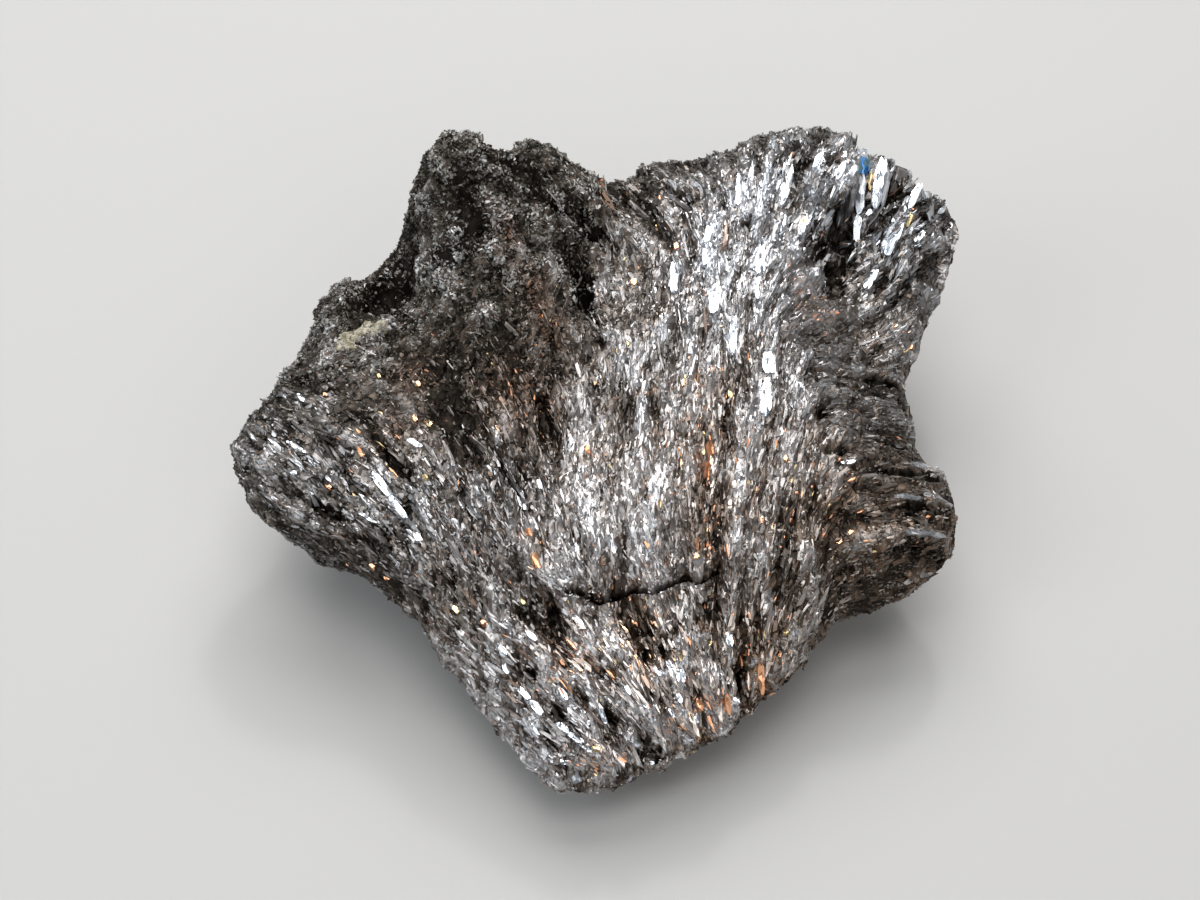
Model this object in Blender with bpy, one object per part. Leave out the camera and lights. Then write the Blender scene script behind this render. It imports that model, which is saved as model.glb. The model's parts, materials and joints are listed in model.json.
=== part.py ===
# A stibnite crystal spray: one lump of radiating stibnite blades that grew together.
# Metres, +Z up. It lies on Z = 0 with its front, the pointed end, towards -Y and its
# high crest towards +Y. The origin is the middle of its bounding box, at the bottom.
#
# The solid is two height fields that meet at the rim: the broken upper face, drawn
# smoothly through named landmarks and ribbed along the sprays, and the undercut
# lower face, which ends in a flat broken patch that the lump lies on.

import math

import bmesh
import bpy
import numpy as np
from mathutils import Vector, noise
from mathutils.geometry import delaunay_2d_cdt

MM = 0.001

# The rim, where the upper face meets the lower one: x, y and height in mm,
# anticlockwise seen from above, from the front tip.
RIM = (
    # front tip and the lower right edge
    (-1.1, -28.0, 4.5), (1.4, -27.1, 4.5), (3.9, -26.0, 5.0), (7.1, -24.5, 5.5),
    (10.4, -22.6, 6.0), (12.9, -20.4, 6.5), (15.6, -17.8, 7.0), (17.6, -15.4, 7.5),
    # right lobe, and the notch above it
    (18.2, -14.0, 8.0), (19.9, -13.9, 8.0), (23.0, -12.7, 8.0), (25.5, -11.5, 8.5),
    (27.3, -9.9, 9.0), (28.1, -7.9, 9.5), (28.5, -4.9, 10.5), (28.1, -2.5, 11.0),
    (26.6, -1.5, 11.0), (25.9, 1.3, 11.0), (25.7, 4.9, 11.5), (25.3, 6.4, 12.0),
    # upper right corner
    (26.5, 9.1, 12.0), (27.4, 11.6, 12.5), (28.7, 15.0, 13.5), (30.1, 18.3, 14.5),
    (30.7, 21.2, 15.5), (29.8, 23.0, 16.5), (27.4, 24.0, 17.0), (25.8, 25.1, 17.5),
    (24.6, 26.4, 18.5), (22.3, 26.8, 19.0),
    # rounded crest at the back, and the saddle beside it
    (20.2, 27.7, 20.0), (17.4, 28.0, 20.5), (14.1, 27.7, 20.5), (11.4, 27.2, 20.0),
    (9.5, 25.6, 19.5), (6.8, 25.8, 19.0), (3.2, 25.5, 19.0), (1.0, 23.8, 19.0),
    (-1.1, 23.1, 20.0),
    # the two knobs
    (-3.3, 23.1, 22.5), (-5.1, 23.9, 23.5), (-6.9, 23.7, 24.0), (-8.1, 23.0, 23.5),
    (-8.6, 21.9, 23.0), (-9.5, 21.5, 23.8), (-11.0, 21.9, 24.6), (-13.0, 22.7, 24.6),
    (-14.8, 22.9, 24.0), (-16.1, 22.3, 23.0), (-16.5, 20.9, 22.0), (-17.0, 18.6, 20.6),
    (-17.9, 17.2, 18.8),
    # gully beside the knobs, and the left shoulder
    (-19.1, 16.2, 17.4), (-20.3, 15.3, 16.6), (-21.9, 14.5, 16.3), (-23.5, 13.6, 16.0),
    (-24.8, 11.9, 15.5), (-25.2, 8.8, 15.0), (-27.0, 6.2, 14.0), (-28.6, 3.6, 13.0),
    # left corner and the lower left edge
    (-30.2, 0.8, 13.0), (-30.7, -1.9, 13.0), (-29.9, -3.9, 13.0), (-28.4, -6.5, 12.8),
    (-26.4, -8.9, 12.5), (-24.6, -9.3, 12.3), (-22.0, -10.6, 12.0), (-19.4, -12.1, 11.2),
    (-16.8, -13.6, 10.4), (-14.6, -15.8, 9.4), (-13.3, -18.2, 8.4), (-11.3, -19.6, 7.6),
    (-9.8, -21.8, 6.5), (-8.7, -23.3, 6.0), (-6.3, -25.4, 5.5), (-4.2, -27.4, 5.0),
)

# What the upper face passes through inside the rim: x, y and height in mm.
LANDMARKS = {
    "knob top": (-13.5, 16.0, 27.5),
    "knob shoulder": (-10.0, 14.0, 26.5),
    "second knob": (-6.0, 18.5, 25.5),
    "end of the knobs": (-2.5, 16.5, 21.5),
    "knob face, left": (-14.0, 11.5, 22.5),
    "knob face, right": (-6.0, 10.5, 22.0),
    "gully beside the knobs": (-17.8, 13.0, 16.0),
    "left shoulder": (-21.5, 10.0, 18.0),
    "apron, left": (-15.0, 6.0, 17.0),
    "apron, right": (-6.0, 5.0, 18.0),
    "gully by the fan": (-1.0, 12.0, 16.5),
    "saddle": (3.0, 20.5, 18.5),
    "crest, left": (8.0, 19.5, 20.5),
    "crest, top": (14.0, 20.0, 22.5),
    "crest, right": (19.0, 20.0, 22.0),
    "corner gully": (21.5, 18.0, 17.5),
    "corner fan": (27.0, 17.5, 18.0),
    "fan, left": (3.5, 8.5, 17.5),
    "fan, middle": (11.0, 10.0, 20.5),
    "recess": (21.0, 10.0, 14.0),
    "recess edge": (25.0, 11.0, 13.5),
    "spine": (13.0, 0.5, 18.0),
    "right notch": (23.0, 4.5, 12.5),
    "left plain": (-24.5, -0.5, 14.5),
    "plain": (-12.5, -1.5, 14.8),
    "centre": (-0.5, -1.0, 15.2),
    "foot of the spine": (12.0, -8.5, 15.8),
    "right lobe": (21.5, -7.0, 13.8),
    "lobe edge": (25.0, -9.0, 11.5),
    "left band": (-21.5, -6.5, 12.6),
    "middle band": (-12.0, -12.5, 12.4),
    "crack, left end": (-1.5, -15.0, 13.6),
    "crack, right end": (8.0, -14.0, 14.4),
    "past the crack": (15.0, -13.5, 12.5),
    "step, left": (-3.5, -16.8, 10.4),
    "step, middle": (3.5, -16.6, 10.8),
    "step, right": (10.5, -16.6, 10.6),
    "tip, left": (-7.5, -20.0, 9.6),
    "tip, middle": (1.0, -21.0, 10.2),
    "tip, right": (10.0, -20.0, 8.6),
    "tip nose": (-0.5, -25.0, 7.6),
}

# Where each spray's blades start from (x, y) and where it lies (x, y, reach), in mm.
SPRAYS = {
    "main fan": ((3.0, -27.0), (-6.0, -2.0, 20.0)),
    "corner fan": ((10.5, -8.5), (20.0, 16.0, 11.0)),
    "right fan": ((8.0, -6.5), (24.0, -5.0, 10.0)),
    "tip fan": ((13.0, -34.0), (1.0, -21.5, 9.0)),
}

# mm
RIM_STEP = 1.25
TOP_STEP = 1.1
UNDER_STEP = 1.6
EDGE_HEIGHT = 1.9  # how far the upper face stands over the rim
EDGE_WIDTH = 2.4  # and in how far from the rim it gets there
RIB_HEIGHT = 0.5
RIB_LENGTH = 12.0
LUMP_HEIGHT = 0.7
LUMP_WIDTH = 7.0
LEAST_WALL = 1.2

RIBS_PER_RADIAN = 11.0

# The flat patch it lies on is the rim's outline, smaller, about this centre.
BASE_CENTRE = (0.5, -1.0)
BASE_SHARE = 0.56
BASE_STEP = 4.0
BASE_CLEAR = 0.05  # share of the way out that is kept clear of points beside the patch's edge
UNDERCUT = 2.1  # over 1, the lower face bulges out on its way up to the rim

# Layers of the noise, far enough apart to look unrelated.
TOP_LAYER = 0.5
UNDER_LAYER = 9.5
SPRAY_LAYERS = 7.0

STIBNITE = {"colour": (0.15, 0.15, 0.16, 1.0), "roughness": 0.32, "metallic": 1.0}


def clear_scene():
    for old in list(bpy.data.objects):
        bpy.data.objects.remove(old)


def closed_spline(points, step):
    """Points along a closed Catmull-Rom curve through these, about step apart."""
    points = [Vector(p) for p in points]
    count = len(points)
    along = []
    for i in range(count):
        before, start, end, after = (points[(i + k) % count] for k in (-1, 0, 1, 2))
        cuts = max(1, round((end - start).length / step))
        for cut in range(cuts):
            t = cut / cuts
            along.append(
                0.5
                * (
                    2 * start
                    + (end - before) * t
                    + (2 * before - 5 * start + 4 * end - after) * t**2
                    + (3 * start - before - 3 * end + after) * t**3
                )
            )
    return along


def smooth_surface(points):
    """A function of x and y: the thin plate that passes through these points."""
    points = np.array(points, float)
    plan = points[:, :2]

    def bending(distance):
        return distance**2 * np.log(distance + 1e-9)

    flat = np.column_stack([np.ones(len(plan)), plan])
    apart = np.linalg.norm(plan[:, None] - plan[None], axis=2)
    system = np.block([[bending(apart), flat], [flat.T, np.zeros((3, 3))]])
    known = np.concatenate([points[:, 2], np.zeros(3)])
    found = np.linalg.solve(system, known)

    def height(x, y):
        distance = np.hypot(plan[:, 0] - x, plan[:, 1] - y)
        return float(bending(distance) @ found[:-3] + found[-3:] @ (1.0, x, y))

    return height


class Outline:
    """The rim seen from above."""

    def __init__(self, rim):
        self.rim = rim
        self.plan = np.array([p[:2] for p in rim])
        self.heights = np.array([p[2] for p in rim])
        spokes = self.plan - np.array(BASE_CENTRE)
        angles = np.arctan2(spokes[:, 1], spokes[:, 0])
        order = np.argsort(angles)
        self.angles = angles[order]
        self.radii = np.hypot(spokes[:, 0], spokes[:, 1])[order]
        self.spoke_heights = self.heights[order]

    def inset(self, x, y):
        """How far a point lies from the rim."""
        start = self.plan
        side = np.roll(start, -1, axis=0) - start
        offset = np.array((x, y)) - start
        share = (offset * side).sum(1) / (side * side).sum(1)
        nearest = side * np.clip(share, 0, 1)[:, None]
        return float(np.min(np.linalg.norm(offset - nearest, axis=1)))

    def holds(self, x, y):
        crossings = 0
        for (x1, y1), (x2, y2) in zip(self.plan, np.roll(self.plan, -1, axis=0)):
            if (y1 > y) != (y2 > y):
                crossings += x < x1 + (y - y1) * (x2 - x1) / (y2 - y1)
        return crossings % 2 == 1

    def share_out(self, x, y):
        """How far out a point lies, from 0 at the base's centre to 1, and the rim's height there."""
        spoke_x, spoke_y = x - BASE_CENTRE[0], y - BASE_CENTRE[1]
        angle = math.atan2(spoke_y, spoke_x)
        radius = np.interp(angle, self.angles, self.radii, period=math.tau)
        height = np.interp(angle, self.angles, self.spoke_heights, period=math.tau)
        return math.hypot(spoke_x, spoke_y) / radius, height


def eased(share):
    """0 to 1 as share goes from 0 to 1, level at both ends."""
    share = min(1.0, max(0.0, share))
    return share * share * (3 - 2 * share)


def ribs(x, y):
    """Height of the bundles of blades: long ridges that run away from each spray's root."""
    total, weights = 0.0, 1e-6
    for index, (root, (middle_x, middle_y, reach)) in enumerate(SPRAYS.values()):
        away = math.hypot(x - middle_x, y - middle_y) / reach
        weight = math.exp(-away * away)
        length = math.hypot(x - root[0], y - root[1])
        across = RIBS_PER_RADIAN * math.atan2(y - root[1], x - root[0])
        total += weight * noise.noise((across, length / RIB_LENGTH, SPRAY_LAYERS * index))
        weights += weight
    return RIB_HEIGHT * 2 * total / weights


def lumps(x, y, layer):
    return LUMP_HEIGHT * noise.noise((x / LUMP_WIDTH, y / LUMP_WIDTH, layer))


def top_height(outline, plate, x, y):
    inset = outline.inset(x, y)
    rolled = 1 - (1 - min(1.0, inset / EDGE_WIDTH)) ** 2
    rough = ribs(x, y) + lumps(x, y, TOP_LAYER)
    return plate(x, y) + EDGE_HEIGHT * rolled + rough * eased(inset / EDGE_WIDTH)


def under_height(outline, x, y):
    out, rim_height = outline.share_out(x, y)
    up = (out - BASE_SHARE) / (1 - BASE_SHARE)
    if up <= 0:
        return 0.0
    rough = lumps(x, y, UNDER_LAYER) * eased(2 * up) * eased(2 * (1 - up))
    return max(0.0, rim_height * min(up, 1.0) ** UNDERCUT + rough)


def lattice(low, high, step):
    """Points of a triangular lattice over a rectangle."""
    row_step = step * math.sqrt(3) / 2
    for row in range(int((high[1] - low[1]) / row_step) + 1):
        start = low[0] + (row % 2) * step / 2
        for column in range(int((high[0] - start) / step) + 1):
            yield start + column * step, low[1] + row * row_step


def triangulated(outline, inner, rings=()):
    """Plan points, the rim's first, and the triangles between them that fill the outline."""
    points = [Vector(p) for p in outline.plan]
    rim_face = list(range(len(points)))
    edges = []
    for ring in rings:
        first = len(points)
        points += [Vector(p) for p in ring]
        edges += [(first + i, first + (i + 1) % len(ring)) for i in range(len(ring))]
    points += [Vector(p) for p in inner]
    made = delaunay_2d_cdt(points, edges, [rim_face], 1, 1e-6)
    return made[0], made[2]


def body_mesh():
    outline = Outline(closed_spline(RIM, RIM_STEP))
    plate = smooth_surface([*RIM, *LANDMARKS.values()])
    low, high = outline.plan.min(0), outline.plan.max(0)
    base_ring = [
        (
            BASE_CENTRE[0] + (x - BASE_CENTRE[0]) * BASE_SHARE,
            BASE_CENTRE[1] + (y - BASE_CENTRE[1]) * BASE_SHARE,
        )
        for x, y in outline.plan[::2]
    ]

    def inside(x, y, clear):
        return outline.holds(x, y) and outline.inset(x, y) > clear

    top_points = [p for p in lattice(low, high, TOP_STEP) if inside(*p, TOP_STEP / 2)]
    side_points = [
        p
        for p in lattice(low, high, UNDER_STEP)
        if inside(*p, UNDER_STEP / 2) and outline.share_out(*p)[0] > BASE_SHARE + BASE_CLEAR
    ]
    base_points = [
        p
        for p in lattice(low, high, BASE_STEP)
        if outline.share_out(*p)[0] < BASE_SHARE - BASE_CLEAR
    ]
    mesh = bmesh.new()
    rim = [mesh.verts.new(p) for p in outline.rim]

    def add_side(inner, rings, height, facing_down):
        plan, faces = triangulated(outline, inner, rings)
        verts = rim + [
            mesh.verts.new((p.x, p.y, height(p.x, p.y))) for p in plan[len(rim) :]
        ]
        for face in faces:
            corners = [verts[i] for i in face]
            mesh.faces.new(corners[::-1] if facing_down else corners)

    def top(x, y):
        return max(
            top_height(outline, plate, x, y), under_height(outline, x, y) + LEAST_WALL
        )

    add_side(top_points, (), top, False)
    add_side(
        side_points + base_points,
        (base_ring,),
        lambda x, y: under_height(outline, x, y),
        True,
    )
    bmesh.ops.recalc_face_normals(mesh, faces=mesh.faces)
    return mesh


def centred(mesh):
    """The mesh in metres, with the middle of its box over the origin."""
    corners = np.array([v.co for v in mesh.verts])
    middle = (corners.min(0) + corners.max(0)) / 2
    bmesh.ops.translate(mesh, vec=(-middle[0], -middle[1], 0), verts=mesh.verts)
    bmesh.ops.scale(mesh, vec=(MM, MM, MM), verts=mesh.verts)


def stibnite():
    material = bpy.data.materials.new("stibnite")
    material.use_nodes = True
    surface = material.node_tree.nodes["Principled BSDF"]
    surface.inputs["Base Color"].default_value = STIBNITE["colour"]
    surface.inputs["Roughness"].default_value = STIBNITE["roughness"]
    surface.inputs["Metallic"].default_value = STIBNITE["metallic"]
    return material


def main():
    clear_scene()
    mesh = body_mesh()
    centred(mesh)
    data = bpy.data.meshes.new("crystal_spray")
    mesh.to_mesh(data)
    mesh.free()
    data.materials.append(stibnite())
    spray = bpy.data.objects.new("crystal_spray", data)
    bpy.context.scene.collection.objects.link(spray)


main()
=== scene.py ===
import json
from math import cos, pi, radians, sin

import bmesh
import bpy
import numpy as np
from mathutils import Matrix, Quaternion, Vector, noise
from mathutils.bvhtree import BVHTree

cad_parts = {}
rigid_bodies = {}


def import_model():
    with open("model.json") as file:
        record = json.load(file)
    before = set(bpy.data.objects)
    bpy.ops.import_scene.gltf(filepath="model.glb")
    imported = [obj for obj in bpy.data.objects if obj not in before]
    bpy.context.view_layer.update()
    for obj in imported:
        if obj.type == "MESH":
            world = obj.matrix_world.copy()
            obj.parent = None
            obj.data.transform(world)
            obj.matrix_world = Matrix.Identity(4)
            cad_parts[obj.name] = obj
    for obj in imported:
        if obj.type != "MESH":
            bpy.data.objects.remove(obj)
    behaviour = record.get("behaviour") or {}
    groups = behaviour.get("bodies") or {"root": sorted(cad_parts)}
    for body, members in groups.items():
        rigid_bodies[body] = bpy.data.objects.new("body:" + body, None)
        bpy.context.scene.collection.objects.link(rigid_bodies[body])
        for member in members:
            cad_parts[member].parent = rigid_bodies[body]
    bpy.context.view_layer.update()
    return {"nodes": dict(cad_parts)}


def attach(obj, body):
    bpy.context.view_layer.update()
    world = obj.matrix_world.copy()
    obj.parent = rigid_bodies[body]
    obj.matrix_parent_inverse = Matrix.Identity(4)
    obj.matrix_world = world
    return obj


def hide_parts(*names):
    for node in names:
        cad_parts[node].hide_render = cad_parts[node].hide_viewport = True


# Stibnite crystal spray: one lump of radiating blades that grew together.
# Sizes are millimetres and angles degrees unless a note says otherwise.

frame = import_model()
mm = 0.001

# How the blades lie over the lump: x, y, the way they run (degrees from +X in plan),
# how brightly they shine, which is also painted light (zones where the light falls are painted
# lighter, others darker), how much dull crust covers them, how rusty they are (all 0 to 1)
# and how coarse they are against the layers' own sizes.
grounds = {
    "left band, upper": (-22.5, -1.8, 140, 0.44, 0.15, 0.0, 1.0),
    "left corner": (-27.5, -3.0, 128, 0.40, 0.35, 0.0, 1.0),
    "left band, middle": (-18.5, -5.7, 134, 0.58, 0.0, 0.0, 1.1),
    "left band, lower": (-15.6, -8.3, 129, 0.52, 0.0, 0.0, 1.1),
    "left rim": (-26.0, -8.0, 152, 0.35, 0.4, 0.0, 1.0),
    "left rim, lower": (-21.0, -10.5, 145, 0.35, 0.35, 0.05, 1.0),
    "lower left": (-15.8, -12.5, 132, 0.12, 0.15, 0.2, 1.0),
    "lower left edge": (-11.1, -14.5, 118, 0.18, 0.25, 0.25, 1.0),
    "steep run": (-11.1, -7.2, 113, 0.62, 0.0, 0.0, 1.0),
    "steep run, middle": (-6.6, -8.1, 114, 0.66, 0.0, 0.1, 0.95),
    "above the crack, left": (-3.5, -12.5, 110, 0.66, 0.0, 0.25, 0.82),
    "above the crack": (-0.5, -11.1, 91, 0.72, 0.0, 0.3, 0.82),
    "middle": (-0.5, -5.6, 91, 0.66, 0.0, 0.3, 0.8),
    "centre": (5.6, -7.8, 88, 0.68, 0.0, 0.5, 0.82),
    "spine": (12.8, 1.8, 88, 0.72, 0.0, 0.2, 1.0),
    "foot of the spine": (12.6, -7.1, 86, 0.66, 0.0, 0.4, 0.85),
    "middle of the fan": (7.5, 5.0, 87, 0.7, 0.0, 0.3, 1.0),
    "fan, lower left": (2.7, 1.4, 93, 0.55, 0.0, 0.25, 0.9),
    "fan, left": (1.2, 9.7, 98, 0.66, 0.0, 0.15, 0.9),
    "side of the gully": (-0.5, 14.8, 112, 0.45, 0.3, 0.4, 0.9),
    "fan, upper left": (6.1, 13.3, 90, 0.85, 0.0, 0.05, 0.9),
    "fan, top": (10.9, 14.3, 85, 0.92, 0.0, 0.0, 0.95),
    "crest": (12.7, 19.7, 82, 0.90, 0.0, 0.0, 0.95),
    "back of the crest": (13.0, 24.6, 82, 0.4, 0.75, 0.0, 0.9),
    "crest, right": (15.9, 18.7, 76, 0.8, 0.0, 0.0, 1.15),
    "corner": (20.8, 20.5, 70, 0.48, 0.0, 0.0, 1.5),
    "corner, low": (23.1, 17.2, 57, 0.47, 0.0, 0.0, 1.4),
    "corner, edge": (25.7, 16.4, 46, 0.48, 0.0, 0.0, 1.35),
    "corner, tip": (28.0, 18.0, 42, 0.45, 0.05, 0.0, 1.3),
    "fan, right": (15.8, 12.2, 68, 0.76, 0.0, 0.05, 0.9),
    "top of the recess": (20.7, 12.6, 38, 0.50, 0.1, 0.3, 0.85),
    "edge of the recess": (25.3, 11.5, 40, 0.40, 0.3, 0.2, 0.9),
    "recess": (20.1, 8.7, 26, 0.40, 0.2, 0.35, 0.9),
    "recess, low": (20.6, 4.9, 16, 0.42, 0.2, 0.15, 0.9),
    "notch": (22.1, 2.2, 12, 0.38, 0.25, 0.15, 1.0),
    "lobe, top": (23.1, -3.7, 10, 0.42, 0.2, 0.15, 0.95),
    "lobe": (22.0, -7.1, 5, 0.38, 0.25, 1.0, 1.0),
    "lobe, edge": (26.0, -8.5, 0, 0.35, 0.2, 1.0, 1.0),
    "lobe, low": (22.1, -11.7, 12, 0.32, 0.4, 0.8, 0.95),
    "inner lobe": (16.0, -6.0, 72, 0.42, 0.15, 0.5, 1.0),
    "past the crack": (14.2, -12.5, 80, 0.42, 0.25, 0.5, 1.0),
    "step, right": (10.1, -17.3, 88, 0.55, 0.1, 0.6, 1.22),
    "tip, right": (12.2, -20.5, 80, 0.55, 0.15, 1.0, 1.22),
    "step, middle": (3.7, -17.8, 110, 0.7, 0.1, 0.7, 1.22),
    "step, left": (-6.5, -17.3, 128, 0.35, 0.25, 0.6, 1.2),
    "tip, middle": (6.3, -21.4, 108, 0.98, 0.0, 0.5, 1.28),
    "tip, centre": (1.8, -22.6, 131, 1.0, 0.0, 0.4, 1.28),
    "tip, band": (-2.3, -23.4, 136, 0.95, 0.0, 0.3, 1.22),
    "tip, left": (-6.5, -19.8, 138, 0.75, 0.0, 0.2, 1.2),
    "tip, left edge": (-8.0, -22.6, 133, 0.35, 0.2, 0.2, 1.1),
    "nose": (-0.5, -27.0, 132, 0.40, 0.25, 0.4, 1.0),
    "tip, lower rim": (6.5, -24.8, 112, 0.85, 0.1, 0.5, 1.22),
    "apron, low": (-8.2, -2.9, 112, 0.26, 0.15, 0.4, 1.0),
    "apron": (-7.2, 4.2, 118, 0.18, 0.5, 0.6, 1.0),
    "apron, left": (-14.3, 0.2, 124, 0.18, 0.55, 0.45, 1.0),
    "foot of the knobs": (-5.2, 9.5, 118, 0.58, 0.92, 0.7, 1.0),
    "knob, right": (-3.6, 14.6, 130, 0.42, 0.97, 0.5, 1.0),
    "second knob": (-5.5, 19.0, 140, 0.32, 0.97, 0.5, 1.0),
    "end of the knobs": (-2.0, 20.5, 132, 0.35, 0.5, 0.4, 1.0),
    "saddle": (4.1, 19.5, 128, 0.24, 0.3, 0.4, 1.1),
    "saddle, right": (7.0, 22.0, 128, 0.28, 0.2, 0.2, 1.0),
    "knob, face": (-11.0, 10.6, 150, 0.84, 1.0, 0.5, 1.0),
    "knob, top": (-12.3, 16.8, 160, 0.16, 1.0, 0.0, 1.0),
    "knob, back": (-12.0, 22.0, 160, 0.2, 1.0, 0.2, 1.0),
    "left shoulder": (-21.4, 8.5, 30, 0.62, 0.95, 0.0, 1.0),
    "foot of the shoulder": (-18.7, 2.9, 142, 0.42, 0.7, 0.5, 1.0),
    "back of the shoulder": (-24.0, 11.0, 60, 0.30, 0.95, 0.1, 1.0),
}
groundReach = 3.4  # how far the say of each place reaches
fanRoot = (3.0, -31.0)  # the blades' outer ends point away from here

# Holes and hollows between the blades: x, y, length, width, the way it runs, depth.
hollows = {
    "gully beside the fan": (-1.6, 11.2, 4.6, 1.2, 96, 2.4),
    "foot of the gully": (-0.6, 7.2, 4.0, 0.5, 96, 0.9),
    "under the knobs": (-18.3, 10.8, 4.5, 3.0, 60, 2.6),
    "dark step": (-4.6, -16.6, 7.5, 1.5, 170, 0.55),
    "dark step, right": (5.5, -17.4, 8.0, 1.2, 5, 0.4),
    "hole in the tip": (4.6, -18.6, 1.6, 1.1, 110, 0.9),
    "pocket in the corner": (19.4, 15.3, 5.6, 2.2, 75, 1.8),
    "pocket under the splay": (24.1, 20.6, 3.2, 1.2, 64, 1.6),
    "pit in the knob": (-11.0, 12.6, 4.0, 2.0, 120, 1.1),
    "dark flank of the knob": (-17.4, 12.4, 4.4, 1.7, 95, 0.8),
    "dark front of the knob": (-12.8, 10.6, 2.4, 1.2, 160, 0.8),
    "pocket by the tall blade": (20.8, 19.4, 3.0, 0.7, 70, 1.5),
    "pocket at the edge": (27.2, 19.4, 2.2, 0.9, 40, 1.1),
    "pocket between the bright blades": (26.2, 17.6, 1.3, 0.7, 50, 0.9),
    "pocket under the short blades": (22.1, 17.6, 2.0, 0.6, 66, 1.0),
    "dark patch in the fan": (16.9, 15.1, 1.8, 0.8, 76, 0.8),
    "second dark patch in the fan": (11.5, 14.2, 1.3, 0.6, 86, 0.6),
    "second knob's pit": (-6.1, 17.0, 2.6, 1.9, 150, 1.6),
    "ledge behind the gully": (-2.8, 15.5, 4.6, 0.6, 178, 1.0),
    "pit by the saddle": (-1.2, 15.8, 2.4, 1.2, 130, 1.4),
    "streak in the saddle": (3.5, 19.4, 3.2, 0.7, 126, 0.9),
    "second streak in the saddle": (6.3, 18.7, 2.6, 0.6, 124, 0.7),
    "hole above the lobe": (17.4, -0.8, 1.3, 0.9, 20, 0.7),
    "hole at the lobe's foot": (18.2, -4.4, 1.9, 0.9, 8, 0.9),
    "streak in the notch": (22.6, 4.9, 3.4, 0.4, 14, 0.6),
    "second streak in the notch": (23.4, 3.9, 2.6, 0.35, 14, 0.45),
    "streak under the notch": (23.4, -1.6, 3.6, 0.5, 12, 0.4),
    "groove above the rib": (24.0, -4.6, 6.0, 0.6, 14, 0.8),
    "groove in the lobe": (25.0, -7.2, 5.4, 0.7, 14, 0.8),
    "second groove in the lobe": (25.2, -10.0, 4.6, 0.6, 14, 0.7),
    "pit in the left band": (-21.7, -7.7, 2.2, 1.3, 140, 1.1),
    "small pit in the left band": (-15.6, -7.6, 1.3, 0.9, 130, 0.9),
    "streak in the left band": (-16.8, -3.4, 5.5, 1.0, 136, 0.7),
    "dark of the apron": (-11.8, -1.8, 6.0, 2.6, 112, 0.8),
    "dark of the apron, upper": (-12.8, 3.4, 4.0, 2.4, 130, 0.7),
    "split in the tip": (4.2, -22.3, 4.5, 0.5, 6, 0.6),
    "pit in the tip": (-3.7, -23.5, 1.8, 0.6, 136, 0.8),
    "streak behind the wide blade": (3.3, -18.8, 2.2, 0.55, 95, 0.9),
    "streak beside the wide blade": (6.8, -21.2, 2.0, 0.6, 117, 0.9),
    "pit right of the cluster": (9.0, -20.4, 1.5, 0.6, 127, 0.8),
    "pit by the copper streak": (10.7, -20.9, 1.4, 0.8, 150, 0.8),
    "pit in the cluster": (4.2, -22.95, 1.2, 0.8, 0, 0.9),
    "pit left of the cluster": (0.3, -24.2, 1.4, 0.7, 150, 0.9),
    "dark under the rim": (3.5, -25.2, 3.6, 0.6, 9, 0.8),
    "pit behind the ridge": (-6.1, -20.5, 1.7, 0.7, 150, 0.7),
    "pit under the ridge": (-4.4, -24.8, 2.0, 0.6, 140, 0.8),
    "pit in the flat": (-0.2, -21.3, 1.3, 0.6, 122, 0.8),
    "second pit in the flat": (-1.8, -22.8, 1.4, 0.7, 127, 0.8),
    "third pit in the flat": (-3.2, -20.8, 1.5, 0.7, 115, 0.8),
    "dip before the spine": (9.4, -3.0, 5.0, 1.4, 90, 0.35),
    "dip in the centre": (1.6, -1.0, 4.0, 1.0, 92, 0.35),
}

# Where the blades are tarnished copper: x, y and radius.
warmSpots = {
    "big glint": (-5.3, -13.3, 1.0),
    "glint above it": (-1.2, -4.7, 1.2),
    "trail, top": (8.0, 0.5, 2.0),
    "trail, middle": (8.3, -4.5, 2.2),
    "trail, bottom": (8.0, -9.5, 2.4),
    "trail, end": (7.6, -13.0, 1.6),
    "tip, right": (12.0, -19.0, 2.4),
    "tip, lower": (6.5, -22.6, 2.2),
    "tip, middle": (3.2, -20.6, 2.0),
    "tip, by the ridge": (-2.8, -19.4, 2.4),
    "step": (2.0, -16.9, 2.4),
    "tip, nose": (-0.8, -26.0, 1.2),
    "left band": (-17.0, -2.0, 2.2),
    "lobe": (17.0, -9.0, 2.4),
    "recess": (17.0, 9.5, 2.2),
    "apron": (-7.0, 0.5, 3.0),
    "foot of the knobs": (-4.5, 6.5, 1.8),
    "knob, right": (-7.3, 11.3, 1.3),
    "knob, low": (-5.5, 8.7, 1.4),
    "apron, left": (-15.2, 3.0, 1.8),
    "corner": (22.2, 21.0, 0.7),
}

# The thin crack across the lower middle.
crack = [
    (-2.9, -15.3), (-2.0, -15.9), (-0.5, -16.5), (1.1, -16.0), (2.6, -15.4),
    (4.1, -15.2), (5.6, -14.9), (7.1, -15.1), (8.6, -14.8),
]


def addNode(tree, kind, settings=None, inputs=None):
    made = tree.nodes.new(kind)
    for name, value in (settings or {}).items():
        setattr(made, name, value)
    for key, value in (inputs or {}).items():
        if isinstance(value, bpy.types.NodeSocket):
            tree.links.new(value, made.inputs[key])
        else:
            made.inputs[key].default_value = value
    made.location = (180 * (len(tree.nodes) % 12), -220 * (len(tree.nodes) // 12))
    return made


def maths(tree, operation, first, second=0.0, third=0.0):
    inputs = {0: first, 1: second, 2: third}
    return addNode(tree, "ShaderNodeMath", {"operation": operation}, inputs).outputs[0]


def vertexArray(mesh, attribute="co"):
    values = np.empty(len(mesh.vertices) * 3, np.float32)
    mesh.vertices.foreach_get(attribute, values)
    return values.reshape(-1, 3).astype(float)


def moveVertices(mesh, places):
    mesh.vertices.foreach_set("co", (places * mm).astype(np.float32).ravel())
    mesh.update()


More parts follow.
